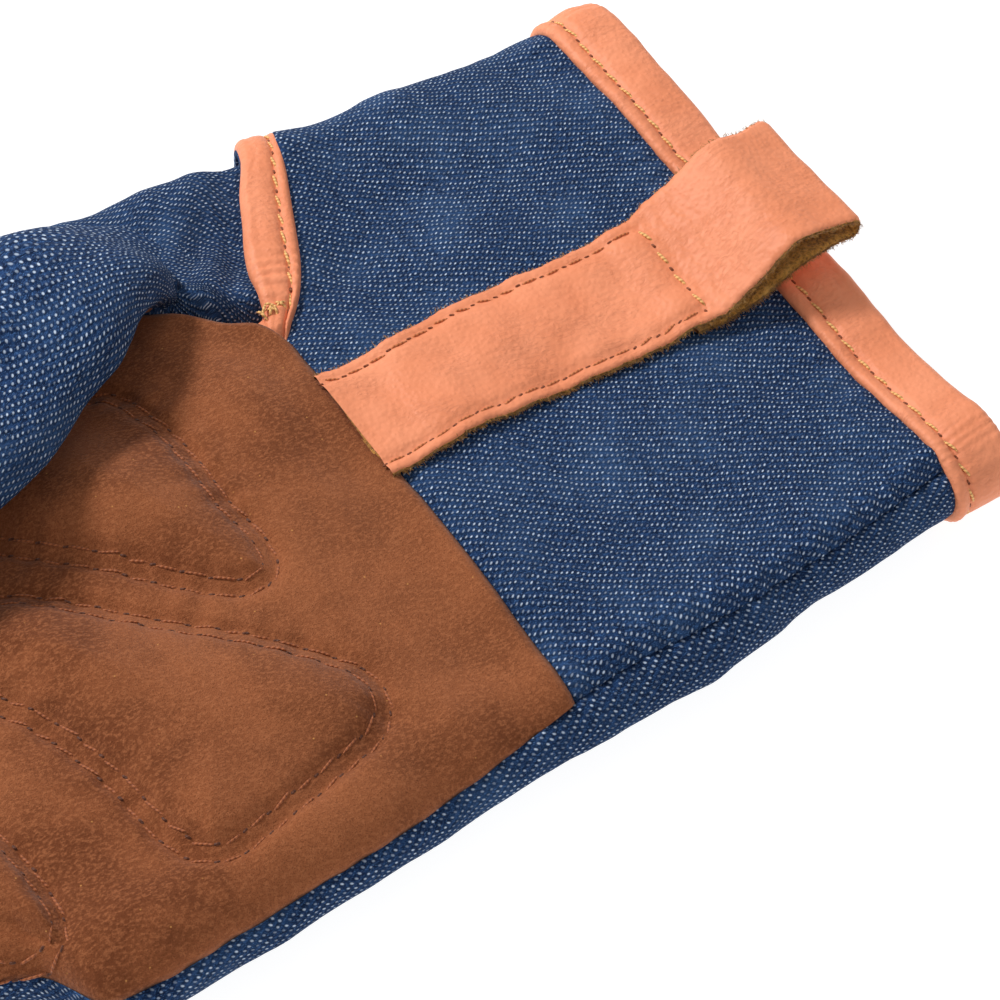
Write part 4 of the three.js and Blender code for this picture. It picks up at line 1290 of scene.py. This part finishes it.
class Nodes:
    """Short calls for building a material's nodes."""

    def __init__(self, name):
        self.material = bpy.data.materials.new(name)
        self.material.use_nodes = True
        self.tree = self.material.node_tree
        self.tree.nodes.clear()
        self.shader = self.tree.nodes.new("ShaderNodeBsdfPrincipled")
        output = self.tree.nodes.new("ShaderNodeOutputMaterial")
        self.tree.links.new(self.shader.outputs[0], output.inputs[0])
        self.heights = []

    def put(self, socket, value):
        if isinstance(value, bpy.types.NodeSocket):
            self.tree.links.new(value, socket)
        else:
            socket.default_value = value

    def math(self, operation, a, b=0.0, c=0.0):
        node = self.tree.nodes.new("ShaderNodeMath")
        node.operation = operation
        for socket, value in zip(node.inputs, (a, b, c)):
            self.put(socket, value)
        return node.outputs[0]

    def ramp(self, value, low, high, to_low=0.0, to_high=1.0):
        node = self.tree.nodes.new("ShaderNodeMapRange")
        node.interpolation_type = "SMOOTHSTEP"
        for socket, setting in zip(node.inputs, (value, low, high, to_low, to_high)):
            self.put(socket, setting)
        return node.outputs[0]

    def mix(self, factor, a, b, blend="MIX"):
        node = self.tree.nodes.new("ShaderNodeMix")
        node.data_type = "RGBA"
        node.blend_type = blend
        self.put(node.inputs[0], factor)
        self.put(node.inputs[6], a)
        self.put(node.inputs[7], b)
        return node.outputs[2]

    def cloth(self):
        node = self.tree.nodes.new("ShaderNodeUVMap")
        node.uv_map = "cloth"
        return node.outputs[0]

    def space(self):
        node = self.tree.nodes.new("ShaderNodeTexCoord")
        return node.outputs["Object"]

    def stretch(self, vector, scale, turn=0.0):
        node = self.tree.nodes.new("ShaderNodeMapping")
        self.put(node.inputs["Vector"], vector)
        node.inputs["Scale"].default_value = scale
        node.inputs["Rotation"].default_value = (0, 0, turn)
        return node.outputs[0]

    def noise(self, vector, scale, detail=2.0, roughness=0.5, distortion=0.0):
        node = self.tree.nodes.new("ShaderNodeTexNoise")
        self.put(node.inputs["Vector"], vector)
        node.inputs["Scale"].default_value = scale
        node.inputs["Detail"].default_value = detail
        node.inputs["Roughness"].default_value = roughness
        node.inputs["Distortion"].default_value = distortion
        return node.outputs[0]

    def cells(self, vector, scale, feature="F1", randomness=1.0):
        node = self.tree.nodes.new("ShaderNodeTexVoronoi")
        node.feature = feature
        self.put(node.inputs["Vector"], vector)
        node.inputs["Scale"].default_value = scale
        node.inputs["Randomness"].default_value = randomness
        return node.outputs

    def white(self, x, y):
        node = self.tree.nodes.new("ShaderNodeTexWhiteNoise")
        node.noise_dimensions = "2D"
        joined = self.tree.nodes.new("ShaderNodeCombineXYZ")
        self.put(joined.inputs[0], x)
        self.put(joined.inputs[1], y)
        self.put(node.inputs["Vector"], joined.outputs[0])
        return node.outputs["Value"]

    def parts(self, vector):
        node = self.tree.nodes.new("ShaderNodeSeparateXYZ")
        self.put(node.inputs[0], vector)
        return node.outputs

    def bump(self, height, distance, strength=1.0):
        """Adds a bump layer; distance is its depth in metres."""
        node = self.tree.nodes.new("ShaderNodeBump")
        node.inputs["Strength"].default_value = strength
        node.inputs["Distance"].default_value = distance
        self.put(node.inputs["Height"], height)
        if self.heights:
            self.put(node.inputs["Normal"], self.heights[-1])
        self.heights.append(node.outputs[0])

    def finish(self, base, roughness, **constant):
        self.put(self.shader.inputs["Base Color"], base)
        self.put(self.shader.inputs["Roughness"], roughness)
        if self.heights:
            self.put(self.shader.inputs["Normal"], self.heights[-1])
        for name, value in constant.items():
            self.shader.inputs[name.replace("_", " ")].default_value = value
        return self.material


def denim(name, row=1.08, dash=0.76, dots=1.0, lift=0.0):
    """Twill with rows of white weft dots between blue warp yarns; the map is in millimetres."""
    n = Nodes(name)
    cloth = n.cloth()
    wobble = n.noise(cloth, 0.35, 2.0)
    u, v, _ = n.parts(cloth)
    drift = n.math("MULTIPLY", n.math("SUBTRACT", wobble, 0.5), 0.9)
    along = n.math("ADD", n.math("MULTIPLY", u, 0.545), n.math("MULTIPLY", v, 0.839))
    over = n.math("SUBTRACT", n.math("MULTIPLY", u, 0.839), n.math("MULTIPLY", v, 0.545))
    x = n.math("DIVIDE", n.math("ADD", over, drift), row)
    lane = n.math("FLOOR", x)
    y = n.math("ADD", n.math("DIVIDE", along, dash), n.math("MULTIPLY", n.white(lane, 3.0), 1.0))
    cell = n.math("FLOOR", y)
    chance = n.white(lane, cell)
    chance_other = n.white(n.math("ADD", lane, 57.0), cell)
    dx = n.math("SUBTRACT", n.math("FRACT", x), n.math("ADD", n.math("MULTIPLY", chance_other, 0.16), 0.42))
    dy = n.math("SUBTRACT", n.math("FRACT", y), n.math("ADD", n.math("MULTIPLY", chance, 0.16), 0.42))
    slant = n.math("ADD", dx, n.math("MULTIPLY", dy, 0.45))
    ex = n.math("POWER", n.math("ABSOLUTE", n.math("DIVIDE", slant, 0.2)), 2.0)
    ey = n.math("POWER", n.math("ABSOLUTE", n.math("DIVIDE", dy, 0.25)), 2.0)
    reach = n.math("SQRT", n.math("ADD", ex, ey))
    dot = n.ramp(reach, 0.45, 1.25, 1.0, 0.0)
    groove = n.ramp(n.math("ABSOLUTE", n.math("SUBTRACT", n.math("FRACT", x), 0.5)), 0.1, 0.5, 1.0, 0.0)
    yarn = n.noise(n.stretch(cloth, (2.6, 0.7, 1)), 1.0, 3.0, 0.6)
    fibre = n.noise(n.stretch(cloth, (9, 3, 1), 0.5), 1.0, 3.0, 0.65)
    faded = n.noise(cloth, 0.06, 3.0, 0.55)
    tone = n.math("ADD", n.math("MULTIPLY", yarn, 0.75), n.math("MULTIPLY", fibre, 0.55))
    tone = n.ramp(tone, 0.48, 0.86)
    dark, middle, pale = colour(13, 28, 57), colour(43, 77, 127), colour(100, 144, 200)
    blue = n.mix(tone, dark, middle)
    blue = n.mix(n.ramp(fibre, 0.53, 0.7, 0.0, 0.75), blue, pale)
    blue = n.mix(n.math("MULTIPLY", n.ramp(groove, 0.0, 1.0), 0.35), blue, dark)
    blue = n.mix(n.ramp(faded, 0.42, 0.75, 0.0, 0.14 + lift), blue, pale)
    uneven = n.math("ADD", n.math("MULTIPLY", n.math("POWER", chance, 1.2), 0.75), 0.25)
    shine = n.math("MULTIPLY", dot, uneven)
    base = n.mix(n.math("MULTIPLY", shine, 0.95 * dots), blue, colour(208, 224, 246))
    across_rib = n.math("SUBTRACT", n.math("FRACT", n.math("ADD", x, 0.5)), 0.5)
    rib = n.ramp(n.math("ABSOLUTE", across_rib), 0.05, 0.5)
    relief = n.math("SUBTRACT", rib, n.math("MULTIPLY", dot, 0.15))
    relief = n.math("ADD", relief, n.math("MULTIPLY", fibre, 0.8))
    n.bump(relief, 0.00026, 1.0)
    return n.finish(base, 0.9, Sheen_Weight=0.0, Specular_IOR_Level=0.12)


def suede(name, bright=1.0):
    n = Nodes(name)
    space = n.space()
    grain = n.noise(space, 5200.0, 3.0, 0.65)
    nap = n.noise(n.stretch(space, (1, 1.7, 1), 0.6), 1500.0, 3.0, 0.6)
    patch = n.noise(space, 62.0, 3.0, 0.55, 0.6)
    broad = n.noise(space, 24.0, 2.0, 0.5)
    dark, middle, pale = colour(114, 62, 36), colour(147, 85, 52), colour(180, 112, 73)
    base = n.mix(n.ramp(patch, 0.36, 0.62), dark, middle)
    base = n.mix(n.ramp(broad, 0.35, 0.75, 0.0, 0.3), base, pale)
    base = n.mix(n.ramp(nap, 0.42, 0.68, 0.0, 0.6), base, pale)
    base = n.mix(n.ramp(grain, 0.48, 0.66, 0.0, 0.5), base, colour(84, 43, 23))
    spots = n.cells(space, 900.0)
    speck = n.ramp(spots["Distance"], 0.05, 0.16, 1.0, 0.0)
    rare = n.ramp(n.parts(spots["Color"])[0], 0.93, 0.95)
    base = n.mix(n.math("MULTIPLY", n.math("MULTIPLY", speck, rare), 0.75), base, colour(224, 160, 90))
    n.bump(n.math("ADD", n.math("MULTIPLY", nap, 0.8), grain), 0.00014, 0.9)
    return n.finish(base, 0.97, Sheen_Weight=0.12, Sheen_Roughness=0.4, Specular_IOR_Level=0.1)


def leather(name, wrinkles=1.0, tint=(240, 148, 106)):
    n = Nodes(name)
    space = n.space()
    cloth = n.cloth()
    pebble = n.cells(space, 1250.0, "SMOOTH_F1")["Distance"]
    fine = n.noise(space, 2600.0, 3.0, 0.6)
    patch = n.noise(space, 90.0, 3.0, 0.5)
    lines = n.noise(n.stretch(cloth, (1.15, 0.28, 1)), 1.0, 3.0, 0.6, 1.2)
    crease = n.ramp(n.math("ABSOLUTE", n.math("SUBTRACT", lines, 0.5)), 0.0, 0.05, 1.0, 0.0)
    where = n.ramp(n.noise(space, 110.0, 2.0), 0.42, 0.62)
    crease = n.math("MULTIPLY", crease, where)
    r, g, b = tint
    base = n.mix(n.ramp(patch, 0.3, 0.7), colour(r - 5, g - 7, b - 8), colour(r + 4, g + 4, b + 4))
    base = n.mix(n.ramp(pebble, 0.5, 0.9, 0.0, 0.16), base, colour(r - 40, g - 42, b - 36))
    # Darker along the creases: painted shade in their hollows, on top of the crease bump below.
    base = n.mix(n.math("MULTIPLY", crease, 0.12 * wrinkles), base, colour(r - 60, g - 60, b - 50))
    n.bump(n.math("SUBTRACT", 1.0, pebble), 0.0002, 0.8)
    n.bump(fine, 0.00008, 0.7)
    n.bump(n.math("SUBTRACT", 1.0, crease), 0.00014, 0.4 * wrinkles)
    return n.finish(base, n.ramp(patch, 0.2, 0.8, 0.5, 0.62), Specular_IOR_Level=0.4)


def raw_leather(name):
    n = Nodes(name)
    space = n.space()
    fuzz = n.noise(space, 2200.0, 4.0, 0.7)
    patch = n.noise(space, 420.0, 2.0)
    base = n.mix(n.ramp(fuzz, 0.3, 0.65), colour(128, 80, 28), colour(222, 160, 74))
    base = n.mix(n.ramp(patch, 0.5, 0.75, 0.0, 0.6), base, colour(244, 190, 104))
    n.bump(fuzz, 0.0004, 1.0)
    return n.finish(base, 0.95, Sheen_Weight=0.3, Specular_IOR_Level=0.15)


def thread(name, tint):
    n = Nodes(name)
    u, v, _ = n.parts(n.cloth())
    ply = n.math("SINE", n.math("ADD", n.math("MULTIPLY", u, 3.6), n.math("MULTIPLY", v, 9.0)))
    r, g, b = tint
    base = n.mix(n.ramp(ply, -1.0, 0.4), colour(r * 0.8, g * 0.74, b * 0.68), colour(r, g, b))
    n.bump(ply, 0.00006, 0.7)
    return n.finish(base, 0.6, Sheen_Weight=0.15, Specular_IOR_Level=0.35)


DENIM = denim("denim")
DENIM_BACK = denim("denim_back")
DENIM_INSIDE = denim("denim_inside", dots=1.0, lift=0.6)
SUEDE = suede("suede")
LEATHER_SMOOTH = leather("leather")
LEATHER_RAW = raw_leather("leather_raw")
THREAD_PALE = thread("thread_pale", (250, 196, 122))
THREAD_STRAP = thread("thread_strap", (214, 130, 78))
THREAD_SUEDE = thread("thread_suede", (172, 98, 54))
# Dark brown pieces at each needle hole: painted shade of the hole, not a thread or leather colour.
HOLE_SHADE_LEATHER = thread("hole_shade_leather", (140, 72, 34))
HOLE_SHADE_SUEDE = thread("hole_shade_suede", (96, 50, 27))

# The glove's cloth panels
cuff = Piece("cuff_front_cloth")
points, runs = cuff_front_grid()
cuff.grid(points, runs)
cuff.build([DENIM, DENIM_INSIDE], ["cuff_front"], CLOTH, inner_slot=1, rim_slot=1)

palm = Piece("palm_suede")
points, runs = palm_grid()
palm.grid(points, runs)
front_row = points[-1]
for i in range(4):
    tube, tube_runs = finger_grid(i, "front", 66, 0.75, 100, 0.5)
    row = front_row[i * FINGER_COLUMNS : (i + 1) * FINGER_COLUMNS + 1]
    tube = roots_match(tube, row)
    palm.grid(tube, tube_runs)
palm_piece = palm.build([SUEDE, LEATHER_RAW], ["palm_panel"], CLOTH, inner_slot=1, rim_slot=0)

back = Piece("back_cloth")
points, runs, keep = back_grid()
back.grid(points, runs, flip=True, keep=keep)
back_row = points[-1]
for i in range(4):
    tube, tube_runs = finger_grid(i, "back", 60, 0.75, 200, 0.45)
    row = back_row[i * FINGER_COLUMNS : (i + 1) * FINGER_COLUMNS + 1]
    tube = roots_match(tube, row)
    back.grid(tube, tube_runs, flip=True)
points, runs = wrap_grid()
back.grid(points, runs)
back.build([DENIM_BACK, DENIM_INSIDE], ["back_panel"], CLOTH, inner_slot=1, rim_slot=1)

GUSSETS = ["fourchette_ring_little", "fourchette_middle_ring", "fourchette_index_middle"]
for i, node in enumerate(GUSSETS):
    gusset = Piece(node + "_cloth")
    points, runs = gusset_grid(i)
    gusset.grid(points, runs, flip=True)
    gusset.build([DENIM, DENIM_INSIDE], [node], CLOTH, inner_slot=1, rim_slot=1)

thumb_over = Piece("thumb_back_cloth")
points, runs = thumb_grid(THUMB_TURN_LOW, THUMB_TURN_HIGH, 62)
thumb_over.grid(points, runs)
thumb_over.build([DENIM, DENIM_INSIDE], ["thumb_back"], CLOTH, inner_slot=1, rim_slot=1)

thumb_under = Piece("thumb_front_suede")
points, runs = thumb_grid(THUMB_TURN_HIGH - 2 * math.pi, THUMB_TURN_LOW, 40, seed=95)
thumb_under.grid(points, runs)
thumb_under.build([SUEDE, LEATHER_RAW], ["thumb_front"], CLOTH, inner_slot=1)

# Leather bindings and strap
rim = Piece("cuff_binding_leather")
points, runs = rim_grid()
rim.grid(points, runs, close_columns=True)
rim.build([LEATHER_SMOOTH], ["cuff_binding"], weld=0)

for is_hand_side, node in ((False, "slit_binding_cuff"), (True, "slit_binding_hand")):
    lip = Piece(node + "_leather")
    points, runs = slit_grid(is_hand_side)
    lip.grid(points, runs, flip=is_hand_side)
    lip.build([LEATHER_SMOOTH], [node], weld=0)

strap = Piece("hanging_strap_leather")
points, runs, slots, strap_line, strap_run, strap_low, strap_high_edge = strap_grid()
rows = len(points)
strap.grid(points, runs, close_columns=True, slot=np.tile(slots, rows - 1))
strap.build([LEATHER_SMOOTH, LEATHER_RAW, LEATHER_RAW], ["hanging_strap"], weld=0)

# Sewing
def surface_tree(piece):
    return BVHTree.FromPolygons(np.concatenate(piece.points).tolist(), np.concatenate(piece.faces).tolist())


def closed(values):
    return np.vstack([values, values[:1]])


def beside(line, distance):
    """A closed plan line moved outwards."""
    step = np.roll(line, -1, axis=0) - np.roll(line, 1, axis=0)
    out = np.stack([step[:, 1], -step[:, 0]], -1)
    out = out / np.linalg.norm(out, axis=-1, keepdims=True)
    area = np.sum(line[:, 0] * np.roll(line[:, 1], -1) - line[:, 1] * np.roll(line[:, 0], -1))
    return line + out * distance * np.sign(area)


def denser(line, step=0.5):
    run = profile_runs(line)
    at = np.arange(0, run[-1], step)
    return np.stack([np.interp(at, run, line[:, i]) for i in range(line.shape[1])], -1)


palm_tree = surface_tree(palm)
rows_on_suede = Piece("palm_stitches")
for number, line in enumerate(PAD_LINES.values()):
    for distance in (0.0, ROW_GAP):
        plan = denser(closed(beside(line, distance)))
        points, normals = drop(palm_tree, [(-s + float(shift_at(s, y)), y) for s, y in plan])
        sewn_row(rows_on_suede, points, normals, 3.3, 0.17, 0.03, 8, 300 + number, hole_shade_slot=1)
rows_on_suede.build([THREAD_SUEDE, HOLE_SHADE_SUEDE], weld=0)

rim_rows = Piece("cuff_binding_stitches")
k = np.linspace(0, 4, 1200)
points = rim_points(np.full(k.shape, RIM_STITCH), np.full(k.shape, 0.66), k * 4)
sewn_row(rim_rows, points, hand_skin(np.full(k.shape, RIM_STITCH), k)[1], 3.4, 0.21, 0.24, 11, 310, hole_shade_slot=1)
rim_rows.build([THREAD_PALE, HOLE_SHADE_LEATHER], weld=0)

slit_rows = Piece("slit_binding_cuff_stitches")
q, offset = slit_stitch_line(False)
points, normals = slit_points(offset, np.full(q.shape, 0.66), q, False)
sewn_row(slit_rows, points, normals, 3.4, 0.21, 0.24, 11, 311, hole_shade_slot=1)
start, _ = slit_ends()
rng = np.random.default_rng(312)
for number in range(9):
    p = rng.uniform(-2.4, 0.6)
    y_at = start + rng.uniform(4.4, 6.6)
    turn = rng.uniform(0, math.pi)
    t = np.linspace(-1.1, 1.1, 6)
    ends, out = slit_points(p + t * math.cos(turn), np.full(t.shape, 1.2), y_at + t * math.sin(turn), False)
    stitch_row(slit_rows, ends, out, 2.2, 2.1, 0.2, 0.3, 0, 320 + number)
slit_rows.build([THREAD_PALE, HOLE_SHADE_LEATHER], weld=0)

strap_tree = surface_tree(strap)
strap_rows = Piece("hanging_strap_stitches")
sewn = strap_line[:, 0] > STRAP_STITCH + 0.9
sewn &= strap_run < 62
for side, row in ((1, strap_low + 2.0), (-1, strap_high_edge - 2.0)):
    plan = denser(np.stack([strap_line[sewn, 0], row[sewn]], -1), 0.4)
    points, normals = drop(strap_tree, [(-s + float(shift_at(s, y)), y) for s, y in plan])
    sewn_row(strap_rows, points, normals, 3.2, 0.17, 0.08, 8 * side, 330 + side)
crossing = np.linspace(strap_low[sewn][-1] + 2.0, strap_high_edge[sewn][-1] - 2.0, 40)
crossing_plan = [(-STRAP_STITCH - 0.8 + float(shift_at(STRAP_STITCH, y)), y) for y in crossing]
points, normals = drop(strap_tree, crossing_plan)
sewn_row(strap_rows, points, normals, 3.0, 0.22, 0.2, 10, 333, slot=1)
strap_rows.build([THREAD_STRAP, THREAD_PALE, HOLE_SHADE_LEATHER], weld=0)

# Fibres on the strap's raw edges
fuzz = Piece("hanging_strap_fibres")
grid = strap.points[0].reshape(len(strap_line), -1, 3)
count = grid.shape[1]
RAW_EDGES = (
    (count - 1, -1, 1500, 340),
    (count - 2, -1, 1300, 341),
    (31, 1, 700, 342),
    (32, 1, 600, 343),
)
for column, way, amount, seed in RAW_EDGES:
    line = grid[:, column % count]
    run = profile_runs(line)
    at = np.random.default_rng(seed).uniform(0, run[-1], amount)
    spots = np.stack([np.interp(at, run, line[:, i]) for i in range(3)], -1)
    spots += np.random.default_rng(seed + 9).normal(0, 0.18, spots.shape)
    fibres(fuzz, spots, np.tile([0.0, way, 0.0], (amount, 1)), 0.5, 0.05, seed)
fuzz.build([LEATHER_RAW], weld=0)

# Floor, light and camera
floor_mesh = bpy.data.meshes.new("floor")
reach = 2.0
corners = [(-reach, -reach, 0), (reach, -reach, 0), (reach, reach, 0), (-reach, reach, 0)]
floor_mesh.from_pydata(corners, [], [(0, 1, 2, 3)])
floor = bpy.data.objects.new("floor", floor_mesh)
bpy.context.scene.collection.objects.link(floor)
paper = Nodes("paper")
paper.shader.inputs["Emission Color"].default_value = (1, 1, 1, 1)
paper.shader.inputs["Emission Strength"].default_value = 0.92
floor_mesh.materials.append(paper.finish((0.25, 0.25, 0.25, 1), 0.9, Specular_IOR_Level=0.0))

world = bpy.data.worlds.new("studio")
world.use_nodes = True
world.node_tree.nodes["Background"].inputs[0].default_value = (1, 1, 1, 1)
world.node_tree.nodes["Background"].inputs[1].default_value = 0.5
bpy.context.scene.world = world
bpy.context.scene.view_settings.view_transform = "Standard"


def lamp(name, place_at, aim_at, size, power):
    light = bpy.data.lights.new(name, "AREA")
    light.shape = "DISK"
    light.size = size
    light.energy = power
    item = bpy.data.objects.new(name, light)
    bpy.context.scene.collection.objects.link(item)
    item.location = place_at
    item.rotation_euler = (Vector(aim_at) - Vector(place_at)).to_track_quat("-Z", "Y").to_euler()
    return item


AIM = Vector((X_SHIFT - 65.74, Y_SHIFT - 20.7, 7.6)) / 1000
lamp("key", (-0.38, 0.74, 0.86), AIM, 0.3, 12.0)
lamp("fill", (0.55, -0.75, 0.8), AIM, 0.9, 0.4)

camera_data = bpy.data.cameras.new("camera")
camera_data.lens = 108
camera_data.sensor_width = 36
camera_data.clip_start = 0.01
camera = bpy.data.objects.new("camera", camera_data)
bpy.context.scene.collection.objects.link(camera)
BACKWARD = Vector((-0.3644, -0.5612, 0.7431))
camera.location = AIM + BACKWARD * 0.4275
camera.rotation_euler = BACKWARD.to_track_quat("Z", "Y").to_euler()
bpy.context.scene.camera = camera
